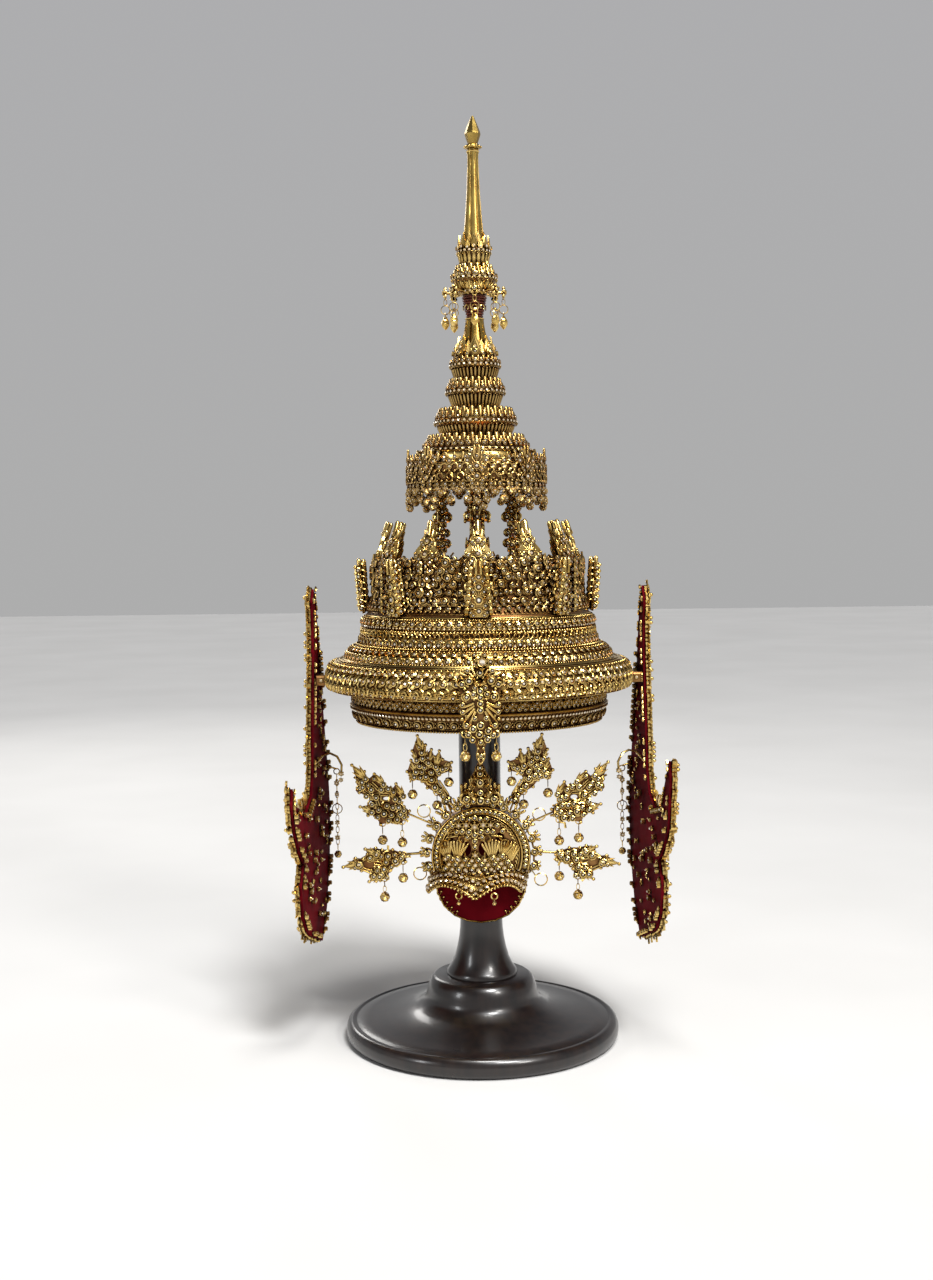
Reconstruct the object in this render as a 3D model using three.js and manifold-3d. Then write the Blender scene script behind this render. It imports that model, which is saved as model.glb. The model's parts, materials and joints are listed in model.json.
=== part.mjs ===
// Thai spired headdress (rat klao) on its turned wooden stand.
// Millimetres, +Z up, origin at the centre of the stand's underside; the nape side faces -Y.
import * as THREE from 'three';
import { mergeVertices } from 'three/addons/utils/BufferGeometryUtils.js';
import Module from 'manifold-3d';

const wasm = await Module();
wasm.setup();

// ---------------------------------------------------------------- driving dimensions
const GAP = 0.3;              // clearance between neighbouring pieces
const WALL = 2.0;             // gilt shells of the crown
const PLATE = 2.2;            // cut plates: flames, panels, sprays, wings

const CROWN_STEPS = 32;       // facets round the crown, the collar and the stand base
const POST_STEPS = 24;        // facets round the post and the nape piece
const SLIM_STEPS = 12;        // facets round the shaft, neck and finial
const ROD_SIDES = 4;          // sides of links and wires
const CUTTER = 120.0;         // size of the blocks that trim a piece

const POST_RADIUS = 16.0;     // stand post inside the crown
const BAND_FOOT = 247.6;      // lower edge of the head band
const DECK_TOP = 329.0;       // top of the deck that carries coronet and spire
const DECK_HOLE = 24.0;       // radius of the hole for the tied-up hair
const STEP_RIM_RADIUS = 85.6; // top of the upper ring step, round the deck
const DECK_RADIUS = STEP_RIM_RADIUS - WALL - 2 * GAP;
const CORONET_TOP = 369.0;    // upper edge of the coronet wall
const COLLAR_TOP = 452.8;     // top of the collar that carries the spire cups
const FLAME_COUNT = 12;
const PANEL_COUNT = 8;
const LEG_COUNT = 4;
const LEG_RADIUS = 27.5;
const ARM_COUNT = 8;

const WING_OFFSET = 127.0;    // wing plate from the axis, at its middle
const WING_TOE = 0.1;         // outward slope of the wing towards the nape

const NAPE_CENTRE = 147.5;    // height of the nape disc's centre
const NAPE_RADIUS = 37.2;     // radius of the nape disc
const NAPE_BACK = -20.0;      // front face of the red back plate
const NAPE_FRONT = -34.0;     // rear face of the pierced front

// Cut outlines, as shares of a plate's width and height.
const LEAF_BULGE = { x: 0.62, z: 0.45 };
const FLAME_HALF = [
  { x: 0.3, z: 0 }, { x: 0.5, z: 0.14 }, { x: 0.4, z: 0.42 }, { x: 0.24, z: 0.32 }, { x: 0.26, z: 0.62 },
];
const PANEL_HALF = {
  foot: { x: 0.3, z: 0 }, lobe: { x: 0.5, z: 0.22 },
  waist: { x: 0.36, z: 0.6 }, shoulder: { x: 0.3, z: 0.85 },
};

const GOLD = { color: 0xd8a441, roughness: 0.34, metalness: 1.0 };
const LACQUER = { color: 0x8e1420, roughness: 0.3, metalness: 0.0 };
const WOOD = { color: 0x1a110d, roughness: 0.32, metalness: 0.0 };

// ---------------------------------------------------------------- turned profiles, radius and height
const STAND_BASE = [
  { r: 0, z: 0 }, { r: 101.0, z: 0 }, { r: 105.4, z: 3.5 }, { r: 105.4, z: 11.0 },
  { r: 101.5, z: 15.0 }, { r: 88.0, z: 15.6 }, { r: 68.0, z: 18.6 }, { r: 54.0, z: 22.4 },
  { r: 48.5, z: 26.0 }, { r: 43.5, z: 31.0 }, { r: 42.0, z: 40.0 }, { r: 38.0, z: 48.0 },
  { r: 0, z: 48.0 },
];
const STAND_POST = [
  { r: 0, z: 48.0 + GAP }, { r: 27.0, z: 48.0 + GAP }, { r: 23.4, z: 56.0 }, { r: 18.7, z: 69.5 },
  { r: 16.4, z: 84.5 }, { r: POST_RADIUS, z: 110.0 }, { r: POST_RADIUS, z: 313.7 }, { r: 0, z: 313.7 },
];
const STAND_CAP = [
  { r: 0, z: 314.0 }, { r: 30.0, z: 314.0 }, { r: 38.0, z: 318.0 }, { r: 38.0, z: 324.0 },
  { r: 35.5, z: 326.7 }, { r: 0, z: 326.7 },
];

// Outer faces of the gilt shells, from the lower edge upwards.
const HEAD_BAND = [
  { r: 92.8, z: BAND_FOOT }, { r: 95.6, z: 255.4 }, { r: 98.2, z: 259.0 }, { r: 98.2, z: 261.2 },
  { r: 96.6, z: 262.8 }, { r: 96.6, z: 269.0 }, { r: 97.2, z: 269.4 }, { r: 97.2, z: 270.4 },
];
const FLARED_BRIM = [
  { r: 98.6, z: 270.7 }, { r: 108.6, z: 270.9 }, { r: 113.6, z: 272.4 }, { r: 116.7, z: 278.0 },
  { r: 115.4, z: 286.6 }, { r: 111.8, z: 293.0 }, { r: 106.5, z: 294.6 }, { r: 101.3, z: 294.9 },
];
const CROWN_STEP_SHELL = [
  { r: 98.2, z: 270.8 }, { r: 98.2, z: 291.4 }, { r: 100.8, z: 294.4 }, { r: 100.8, z: 298.6 },
  { r: 96.4, z: 304.4 }, { r: 89.0, z: 305.6 }, { r: 89.8, z: 314.2 }, { r: 88.4, z: 317.2 },
  { r: 88.6, z: 320.4 }, { r: STEP_RIM_RADIUS, z: DECK_TOP },
];
const CROWN_DECK = [
  { r: DECK_HOLE, z: DECK_TOP - WALL }, { r: DECK_RADIUS, z: DECK_TOP - WALL },
  { r: DECK_RADIUS, z: DECK_TOP }, { r: DECK_HOLE, z: DECK_TOP }, { r: DECK_HOLE, z: DECK_TOP - WALL },
];
const CORONET_WALL = [
  { r: 85.4, z: DECK_TOP + GAP }, { r: 80.0, z: 341.0 }, { r: 78.8, z: 350.0 },
  { r: 78.8, z: CORONET_TOP },
];
const COLLAR_BAND = [{ r: 50.2, z: 425.0 }, { r: 50.2, z: 437.4 }];
const SPIRE_COLLAR = [
  { r: 50.2, z: 437.4 + GAP }, { r: 50.2, z: 439.4 }, { r: 42.2, z: 442.6 }, { r: 41.6, z: 450.2 },
  { r: 39.8, z: COLLAR_TOP }, { r: 15.0, z: COLLAR_TOP },
];
// Closed profiles; a row with a rise lifts by that much at each petal of the ring.
const CUP_LOWER = [
  { r: 38.8, z: COLLAR_TOP + GAP }, { r: 38.8, z: 456.0 }, { r: 37.3, z: 456.6, rise: 5.8 },
  { r: 35.6, z: 456.6, rise: 5.8 }, { r: 34.6, z: 456.4 }, { r: 23.4, z: 460.6 },
  { r: 28.4, z: 470.0 }, { r: 30.6, z: 471.8 }, { r: 30.6, z: 474.6 },
  { r: 28.4, z: 475.6, rise: 8.4 }, { r: 26.6, z: 475.6, rise: 8.4 }, { r: 26.2, z: 475.0 },
  { r: 14.0, z: 475.0 }, { r: 14.0, z: 473.2 }, { r: 21.0, z: 473.2 }, { r: 21.0, z: 458.6 },
  { r: 36.8, z: COLLAR_TOP + GAP },
];
const CUP_MIDDLE = [
  { r: 23.0, z: 475.3 }, { r: 23.0, z: 478.0 }, { r: 15.6, z: 481.2 }, { r: 15.1, z: 484.6 },
  { r: 19.7, z: 493.0 }, { r: 21.9, z: 494.8 }, { r: 21.9, z: 497.2 },
  { r: 20.2, z: 497.8, rise: 9.2 }, { r: 18.6, z: 497.8, rise: 9.2 }, { r: 18.2, z: 497.0 },
  { r: 9.0, z: 497.0 }, { r: 9.0, z: 495.4 }, { r: 13.0, z: 495.4 }, { r: 13.0, z: 480.4 },
  { r: 21.0, z: 475.3 },
];
const CUP_UPPER = [
  { r: 16.8, z: 497.3 }, { r: 16.8, z: 499.6 }, { r: 13.4, z: 502.6 }, { r: 13.2, z: 506.8 },
  { r: 16.2, z: 513.0 }, { r: 18.6, z: 514.8 }, { r: 18.6, z: 517.2 },
  { r: 17.3, z: 517.8, rise: 4.4 }, { r: 16.0, z: 517.8, rise: 4.4 }, { r: 15.8, z: 517.0 },
  { r: 7.0, z: 517.0 }, { r: 7.0, z: 515.6 }, { r: 10.8, z: 515.6 }, { r: 10.8, z: 502.0 },
  { r: 14.8, z: 497.3 },
];
const LOTUS_BELL = [
  { r: 15.2, z: 517.3 }, { r: 15.2, z: 521.6 }, { r: 14.6, z: 522.0, rise: 15.0 },
  { r: 13.3, z: 522.0, rise: 15.0 }, { r: 12.6, z: 521.4 }, { r: 10.8, z: 531.0 },
  { r: 8.3, z: 541.0 }, { r: 6.8, z: 551.7 }, { r: 5.2, z: 551.7 }, { r: 9.0, z: 531.0 },
  { r: 9.0, z: 519.4 }, { r: 13.4, z: 517.3 },
];
const FRINGE_BAND = [
  { r: 53.2, z: 429.0, rise: -5.0 }, { r: 53.2, z: 437.0, rise: 15.5 },
  { r: 51.5, z: 437.0, rise: 15.5 }, { r: 51.5, z: 429.0, rise: -5.0 },
];
const CANOPY_NECK = [
  { r: 0, z: 552.0 }, { r: 6.6, z: 552.0 }, { r: 6.6, z: 554.6 }, { r: 5.2, z: 556.2 },
  { r: 6.2, z: 558.4 }, { r: 5.2, z: 560.6 }, { r: 6.2, z: 562.8 }, { r: 5.4, z: 565.0 },
  { r: 7.4, z: 568.2 }, { r: 0, z: 568.2 },
];
const CANOPY_HUB = [
  { r: 0, z: 568.5 }, { r: 10.4, z: 568.5 }, { r: 12.9, z: 570.4 }, { r: 10.8, z: 572.2 },
  { r: 0, z: 572.2 },
];
const TIER_LOWER = [
  { r: 0, z: 572.5 }, { r: 10.0, z: 572.5 }, { r: 13.6, z: 577.0 }, { r: 16.3, z: 579.4 },
  { r: 16.3, z: 582.2 }, { r: 14.6, z: 582.8, rise: 8.2 }, { r: 13.1, z: 582.8, rise: 8.2 },
  { r: 12.6, z: 582.2 }, { r: 0, z: 582.2 },
];
const TIER_UPPER = [
  { r: 0, z: 582.5 }, { r: 9.0, z: 582.5 }, { r: 8.2, z: 587.6 }, { r: 10.4, z: 596.0 },
  { r: 11.8, z: 600.2 }, { r: 11.8, z: 602.6 }, { r: 11.4, z: 603.0, rise: 10.4 },
  { r: 10.0, z: 603.0, rise: 10.4 }, { r: 9.6, z: 602.4 }, { r: 0, z: 602.4 },
];
const SPIRE_SHAFT = [
  { r: 0, z: 602.7 }, { r: 8.4, z: 602.7 }, { r: 7.6, z: 613.0 }, { r: 4.9, z: 643.0 },
  { r: 4.0, z: 674.0 }, { r: 4.4, z: 676.6 }, { r: 0, z: 676.6 },
];
const FINIAL_BUD = [
  { r: 0, z: 676.9 }, { r: 5.4, z: 676.9 }, { r: 6.2, z: 678.6 }, { r: 3.8, z: 681.4 },
  { r: 5.7, z: 687.0 }, { r: 3.9, z: 693.6 }, { r: 0, z: 702.0 },
];

// ---------------------------------------------------------------- geometry helpers
// A closed mesh with shared vertices, no flat triangles, and its faces pointing out.
function closed(geometry) {
  const bare = geometry.clone();
  bare.deleteAttribute('normal');
  bare.deleteAttribute('uv');
  const merged = mergeVertices(bare, 1e-4);
  const corner = merged.index.array;
  const kept = [];
  for (let i = 0; i < corner.length; i += 3) {
    const [a, b, c] = [corner[i], corner[i + 1], corner[i + 2]];
    if (a !== b && b !== c && c !== a) kept.push([a, b, c]);
  }
  const place = merged.attributes.position;
  const point = (index) => new THREE.Vector3().fromBufferAttribute(place, index);
  const volume = kept.reduce((sum, [a, b, c]) => sum + point(a).dot(point(b).cross(point(c))), 0);
  merged.setIndex(kept.flatMap(([a, b, c]) => (volume < 0 ? [a, c, b] : [a, b, c])));
  return merged;
}

function toSolid(geometry) {
  const mesh = closed(geometry);
  return new wasm.Manifold(new wasm.Mesh({
    numProp: 3,
    vertProperties: new Float32Array(mesh.attributes.position.array),
    triVerts: new Uint32Array(mesh.index.array),
  }));
}

function toGeometry(solid) {
  const mesh = solid.getMesh();
  const geometry = new THREE.BufferGeometry();
  geometry.setAttribute('position', new THREE.BufferAttribute(new Float32Array(mesh.vertProperties), 3));
  geometry.setIndex(Array.from(mesh.triVerts));
  return geometry;
}

function weld(parts) {
  return toGeometry(parts.map(toSolid).reduce((whole, part) => whole.add(part)));
}

function carve(body, tools) {
  return toGeometry(tools.map(toSolid).reduce((rest, tool) => rest.subtract(tool), toSolid(body)));
}

// Solid of revolution about Z from a profile that closes on the axis or on itself.
function turned(profile, steps) {
  const points = profile.map(({ r, z }) => new THREE.Vector2(r, z));
  return new THREE.LatheGeometry(points, steps).rotateX(Math.PI / 2);
}

// The profile moved inwards by a wall thickness, each corner on the line that halves its angle.
function inset(profile, wall) {
  const normals = profile.slice(1).map((next, i) => {
    const run = new THREE.Vector2(next.r - profile[i].r, next.z - profile[i].z).normalize();
    return new THREE.Vector2(-run.y, run.x);
  });
  return profile.map(({ r, z }, i) => {
    const before = normals[Math.max(i - 1, 0)];
    const after = normals[Math.min(i, normals.length - 1)];
    const middle = before.clone().add(after).normalize();
    const reach = wall / middle.dot(after);
    return { r: r + middle.x * reach, z: z + middle.y * reach };
  });
}

// Ring-shaped shell of even wall thickness under an outer profile.
function shell(profile, wall, steps) {
  const ring = [...profile, ...inset(profile, wall).reverse()];
  return turned([...ring, ring[0]], steps);
}

// Upright plate in the XZ plane, centred on Y.
function plate(shape, thickness, curveSegments) {
  const body = new THREE.ExtrudeGeometry(shape, { depth: thickness, bevelEnabled: false, curveSegments });
  return body.rotateX(Math.PI / 2).translate(0, thickness / 2, 0);
}

// Pointed leaf standing on its base line, its sides bulging by a share of its size.
function leaf(width, height, thickness = PLATE, curveSegments = 3) {
  const bulge = { x: LEAF_BULGE.x * width, z: LEAF_BULGE.z * height };
  const shape = new THREE.Shape();
  shape.moveTo(-width / 2, 0);
  shape.quadraticCurveTo(-bulge.x, bulge.z, 0, height);
  shape.quadraticCurveTo(bulge.x, bulge.z, width / 2, 0);
  return plate(shape, thickness, curveSegments);
}

// Tall flame with a lobe on each side of its foot, as one plate.
function flame(width, height) {
  const side = (sign) => FLAME_HALF.map(({ x, z }) => new THREE.Vector2(sign * x * width, z * height));
  return plate(new THREE.Shape([...side(1), new THREE.Vector2(0, height), ...side(-1).reverse()]), PLATE, 1);
}

// Outline of a flower panel: narrow foot, low side lobes, waist and a pointed top.
function panelShape(width, height) {
  const { foot, lobe, waist, shoulder } = PANEL_HALF;
  const at = (sign, place) => [sign * place.x * width, place.z * height];
  const shape = new THREE.Shape();
  shape.moveTo(...at(-1, foot));
  shape.lineTo(...at(-1, lobe));
  shape.lineTo(...at(-1, waist));
  shape.quadraticCurveTo(...at(-1, shoulder), 0, height);
  shape.quadraticCurveTo(...at(1, shoulder), ...at(1, waist));
  shape.lineTo(...at(1, lobe));
  shape.lineTo(...at(1, foot));
  return shape;
}

// Turns an upright detail to its place on a circle: leaning in by an angle, facing away from the axis.
function placeOnCircle(part, radius, height, angle, lean = 0) {
  return part.rotateX(-lean).translate(0, -radius, height).rotateZ(angle);
}

// Calls a maker once for each of a count of even steps round the axis.
function repeatRound(count, make) {
  for (let i = 0; i < count; i += 1) make((i * 2 * Math.PI) / count, i);
}

// Solid of revolution whose marked rows rise to a point at every other step, as a ring of petals does.
function petalled(profile, petals) {
  const ring = turned([...profile, profile[0]], 2 * petals);
  const points = ring.attributes.position;
  const rows = profile.length + 1;
  profile.forEach(({ rise = 0 }, row) => {
    for (let step = 0; step <= 2 * petals; step += 2) {
      const twins = row === 0 ? [0, rows - 1] : [row];
      twins.map((twin) => step * rows + twin).forEach((i) => points.setZ(i, points.getZ(i) + rise));
    }
  });
  return ring;
}

// Straight slim rod between two points.
function rod(from, to, width) {
  const run = to.clone().sub(from);
  const bar = new THREE.CylinderGeometry(width / 2, width / 2, run.length(), ROD_SIDES);
  const turn = new THREE.Quaternion().setFromUnitVectors(new THREE.Vector3(0, 1, 0), run.normalize());
  return bar.applyQuaternion(turn).translate(...from.clone().add(to).multiplyScalar(0.5).toArray());
}

// Flower-ball drop hanging from a point on a thin link.
function drop(top, length, ball, link = 1.4) {
  const centre = top.clone().setZ(top.z - length + ball / 2);
  return [
    rod(top, centre, link),
    new THREE.OctahedronGeometry(ball / 2, 0).translate(...centre.toArray()),
  ];
}

// ---------------------------------------------------------------- the object
const headdress = new THREE.Group();

function addPiece(name, geometry, finish = GOLD) {
  const mesh = new THREE.Mesh(closed(geometry), new THREE.MeshStandardMaterial(finish));
  mesh.name = name;
  headdress.add(mesh);
}

// Stand
addPiece('stand_base', turned(STAND_BASE, CROWN_STEPS), WOOD);
addPiece('stand_post', turned(STAND_POST, POST_STEPS), WOOD);
addPiece('stand_cap', turned(STAND_CAP, POST_STEPS), WOOD);

// Crown
addPiece('head_band', shell(HEAD_BAND, WALL, CROWN_STEPS));
addPiece('flared_brim', shell(FLARED_BRIM, WALL, CROWN_STEPS));
addPiece('crown_steps', shell(CROWN_STEP_SHELL, WALL, CROWN_STEPS));
addPiece('crown_deck', turned(CROWN_DECK, CROWN_STEPS));
addPiece('coronet_wall', shell(CORONET_WALL, WALL, CROWN_STEPS));

const twoDigits = (index) => String(index + 1).padStart(2, '0');

// Tall flames on the coronet's edge, leaning in.
const FLAME = { width: 24.0, height: 31.5, radius: 77.2, lean: 0.3 };
repeatRound(FLAME_COUNT, (angle, i) => {
  const foot = CORONET_TOP + 2 * GAP;
  addPiece(`coronet_flame_${twoDigits(i)}`,
    placeOnCircle(flame(FLAME.width, FLAME.height), FLAME.radius, foot, angle, FLAME.lean));
});

// Flower panels standing off the coronet and leaning out, each with two drops on rings.
const PANEL = {
  width: 20.0, height: 43.0, radius: 87.0, lean: -0.08, foot: DECK_TOP + 2 * GAP,
  hookX: 7.5, hookHeight: 24.0, drop: 11.0, ball: 5.0,
};
repeatRound(PANEL_COUNT, (angle, i) => {
  const parts = [plate(panelShape(PANEL.width, PANEL.height), PLATE, 2)];
  for (const side of [-1, 1]) {
    const hook = new THREE.Vector3(side * PANEL.hookX, -PLATE / 2, PANEL.hookHeight);
    parts.push(...drop(hook, PANEL.drop, PANEL.ball));
  }
  const placed = parts.map((part) => placeOnCircle(part, PANEL.radius, PANEL.foot, angle, PANEL.lean));
  addPiece(`coronet_panel_${twoDigits(i)}`, weld(placed));
});

// Struts between coronet and collar, widened to a flame where they show.
const STRUT = {
  width: 9.0, flameWidth: 16.0, flameFoot: 366.0, flameHeight: 40.0, flameThickness: PLATE + 1.0,
};
repeatRound(LEG_COUNT, (angle, i) => {
  const foot = DECK_TOP + GAP;
  const top = COLLAR_TOP - WALL - GAP;
  const strut = new THREE.BoxGeometry(STRUT.width, PLATE, top - foot).translate(0, 0, (top - foot) / 2);
  const crest = leaf(STRUT.flameWidth, STRUT.flameHeight, STRUT.flameThickness)
    .translate(0, 0, STRUT.flameFoot - foot);
  const placed = [strut, crest].map((part) => placeOnCircle(part, LEG_RADIUS, foot, angle));
  addPiece(`spire_leg_${i + 1}`, weld(placed));
});

// Spire collar and the fringe of leaf points and drops round it
addPiece('collar_band', shell(COLLAR_BAND, WALL, CROWN_STEPS));
addPiece('spire_collar', shell(SPIRE_COLLAR, WALL, CROWN_STEPS));
const FRINGE = {
  pointRadius: 52.0, pointHook: 426.0, gapRadius: 52.3, gapHook: 430.0, drop: 18.0, ball: 5.4,
};
const fringe = [petalled(FRINGE_BAND, PANEL_COUNT)];
repeatRound(2 * PANEL_COUNT, (angle, i) => {
  const atPoint = i % 2 === 0;
  const radius = atPoint ? FRINGE.pointRadius : FRINGE.gapRadius;
  const height = atPoint ? FRINGE.pointHook : FRINGE.gapHook;
  const hook = new THREE.Vector3(0, -radius, height);
  fringe.push(...drop(hook, FRINGE.drop, FRINGE.ball).map((part) => part.rotateZ(angle)));
});
addPiece('collar_fringe', weld(fringe));

// Cups and bell of the spire, each with its ring of upright petals
const CUPS = [
  { name: 'tier_cup_lower', profile: CUP_LOWER, petals: 14 },
  { name: 'tier_cup_middle', profile: CUP_MIDDLE, petals: 12 },
  { name: 'tier_cup_upper', profile: CUP_UPPER, petals: 10 },
  { name: 'lotus_bell', profile: LOTUS_BELL, petals: 8 },
];
for (const { name, profile, petals } of CUPS) {
  addPiece(name, petalled(profile, petals));
}

// Neck, canopy of eight arms with drops, upper tiers, shaft and finial
addPiece('canopy_neck', turned(CANOPY_NECK, SLIM_STEPS));
const ARM = {
  root: 10.0, tip: 22.0, z: 570.4, width: 2.2, flower: 3.0, flowerSides: 6, drop: 26.0, ball: 6.0,
};
const canopy = [turned(CANOPY_HUB, 2 * ARM_COUNT)];
repeatRound(ARM_COUNT, (angle) => {
  const root = new THREE.Vector3(0, -ARM.root, ARM.z);
  const tip = new THREE.Vector3(0, -ARM.tip, ARM.z);
  const flower = new THREE.CylinderGeometry(ARM.flower, ARM.flower, PLATE, ARM.flowerSides)
    .translate(tip.x, tip.y, tip.z);
  const arm = [rod(root, tip, ARM.width), flower, ...drop(tip, ARM.drop, ARM.ball)];
  canopy.push(...arm.map((part) => part.rotateZ(angle)));
});
addPiece('canopy_ring', weld(canopy));
addPiece('spire_tier_lower', petalled(TIER_LOWER, ARM_COUNT));
addPiece('spire_tier_upper', petalled(TIER_UPPER, ARM_COUNT));
addPiece('spire_shaft', turned(SPIRE_SHAFT, SLIM_STEPS));
addPiece('finial_bud', turned(FINIAL_BUD, SLIM_STEPS));

// Ornament at the nape: an upper leaf lying on the brim, a lower plate hanging in front of the band
const PENDANT = {
  face: 119.3, knee: 279.0, overlap: 1.0, crest: 303.0, halfWidth: 13.5, lean: 0.3,
  side: { x: 11.3, z: 256.0 }, sweep: { x: 8.1, z: 250.0 }, stem: { x: 3.0, z: 246.0 }, tip: 230.0,
  hook: { x: 9.0, z: 254.0 }, drop: 21.0, ball: 5.4,
};
const pendantUpper = leaf(2 * PENDANT.halfWidth, PENDANT.crest - PENDANT.knee, PLATE, 4)
  .rotateX(-PENDANT.lean)
  .translate(0, -PENDANT.face, PENDANT.knee - PENDANT.overlap);
const pendantShape = new THREE.Shape();
pendantShape.moveTo(-PENDANT.halfWidth, PENDANT.knee);
pendantShape.lineTo(-PENDANT.side.x, PENDANT.side.z);
pendantShape.quadraticCurveTo(-PENDANT.sweep.x, PENDANT.sweep.z, -PENDANT.stem.x, PENDANT.stem.z);
pendantShape.lineTo(0, PENDANT.tip);
pendantShape.lineTo(PENDANT.stem.x, PENDANT.stem.z);
pendantShape.quadraticCurveTo(PENDANT.sweep.x, PENDANT.sweep.z, PENDANT.side.x, PENDANT.side.z);
pendantShape.lineTo(PENDANT.halfWidth, PENDANT.knee);
const pendantParts = [pendantUpper, plate(pendantShape, PLATE, 3).translate(0, -PENDANT.face, 0)];
for (const side of [-1, 1]) {
  const hook = new THREE.Vector3(side * PENDANT.hook.x, -PENDANT.face, PENDANT.hook.z);
  pendantParts.push(...drop(hook, PENDANT.drop, PENDANT.ball));
}
addPiece('band_pendant', weld(pendantParts));

// Nape piece: red back plate clipped to the post, pierced front with its rim, wavy hood, crest and six sprays
const NAPE = {
  backRadius: 36.0, shoulder: { x: 33.2, z: 116.0 }, heelX: 22.3, plateBottom: 93.0,
  clipRadius: POST_RADIUS + GAP + WALL, clipHalf: 5.0, cut: 136.0, rimTo: NAPE_BACK - GAP, piercingSides: 6,
};
const backShape = new THREE.Shape();
backShape.moveTo(-NAPE.backRadius, NAPE_CENTRE);
backShape.absarc(0, NAPE_CENTRE, NAPE.backRadius, Math.PI, 0, true);
backShape.lineTo(NAPE.shoulder.x, NAPE.shoulder.z);
backShape.quadraticCurveTo(NAPE.heelX, NAPE.plateBottom, 0, NAPE.plateBottom);
backShape.quadraticCurveTo(-NAPE.heelX, NAPE.plateBottom, -NAPE.shoulder.x, NAPE.shoulder.z);
const clipProfile = [
  { r: NAPE.clipRadius, z: NAPE_CENTRE - NAPE.clipHalf },
  { r: NAPE.clipRadius, z: NAPE_CENTRE + NAPE.clipHalf },
];
addPiece('nape_plate', weld([
  plate(backShape, WALL, 8).translate(0, NAPE_BACK + WALL / 2, 0),
  shell(clipProfile, WALL, POST_STEPS),
]), LACQUER);

// Turns a part made about Z so that its axis runs towards the nape; its height becomes the distance forwards.
const facingNape = (part) => part.rotateX(Math.PI / 2).translate(0, 0, NAPE_CENTRE);
const rimProfile = [{ r: NAPE_RADIUS, z: -NAPE.rimTo }, { r: NAPE_RADIUS, z: -NAPE_FRONT + WALL / 2 }];
const discFace = new THREE.CylinderGeometry(NAPE_RADIUS, NAPE_RADIUS, WALL, POST_STEPS)
  .translate(0, NAPE_FRONT - WALL / 2, NAPE_CENTRE);
const belowCut = new THREE.BoxGeometry(CUTTER, CUTTER, CUTTER)
  .translate(0, NAPE_FRONT, NAPE.cut - CUTTER / 2);
const PIERCINGS = [
  { x: 7.6, z: 152.0, radius: 3.4 }, { x: 18.0, z: 162.0, radius: 3.0 },
];
const piercings = PIERCINGS.flatMap(({ x, z, radius }) => [-1, 1].map((side) => (
  new THREE.CylinderGeometry(radius, radius, 4 * WALL, NAPE.piercingSides)
    .translate(side * x, NAPE_FRONT - WALL / 2, z))));
const discWithRim = weld([discFace, facingNape(shell(rimProfile, WALL, POST_STEPS))]);
addPiece('nape_disc', carve(discWithRim, [belowCut, ...piercings]));

// Half-round lip under the disc: shallow at the top edge, swelling out to a wavy lower edge.
const HOOD = {
  top: NAPE.cut - GAP, topDepth: 15.8, topHalf: NAPE_RADIUS, lip: 119.5, lipDepth: 36.0, lipHalf: 36.0,
  wave: 8.5, waveEnd: 1.25, skew: -5.0, wall: 1.8,
};
const hoodProfile = [
  { r: HOOD.lipHalf, z: 0 }, { r: HOOD.topHalf, z: 1 }, { r: HOOD.topHalf - HOOD.wall, z: 1 },
  { r: HOOD.lipHalf - HOOD.wall, z: 0 },
];
const hoodRing = turned([...hoodProfile, hoodProfile[0]], CROWN_STEPS);
const hoodPoints = hoodRing.attributes.position;
for (let i = 0; i < hoodPoints.count; i += 1) {
  const [x, y, rise] = [hoodPoints.getX(i), hoodPoints.getY(i), hoodPoints.getZ(i)];
  const fromFront = Math.abs(Math.atan2(x, -y));
  const lipHeight = HOOD.lip + HOOD.wave * Math.sin(Math.min(fromFront / HOOD.waveEnd, 1) * Math.PI);
  const depth = THREE.MathUtils.lerp(HOOD.lipDepth / HOOD.lipHalf, HOOD.topDepth / HOOD.topHalf, rise);
  const height = THREE.MathUtils.lerp(lipHeight, HOOD.top, rise);
  hoodPoints.setXYZ(i, x + HOOD.skew * (1 - rise), y * depth + NAPE.rimTo, height);
}
const behindPlate = new THREE.BoxGeometry(CUTTER, CUTTER, CUTTER)
  .translate(0, NAPE.rimTo + CUTTER / 2, NAPE.cut);
addPiece('nape_hood', carve(hoodRing, [behindPlate]));

const CREST = { width: 34.0, foot: 177.0, tip: 222.0, y: NAPE_FRONT };
const crestPlate = flame(CREST.width, CREST.tip - CREST.foot).translate(0, CREST.y, CREST.foot);
const discRoom = new THREE.CylinderGeometry(NAPE_RADIUS + GAP, NAPE_RADIUS + GAP, CUTTER, POST_STEPS)
  .translate(0, NAPE_FRONT, NAPE_CENTRE);
addPiece('nape_crest', carve(crestPlate, [discRoom]));

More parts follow.
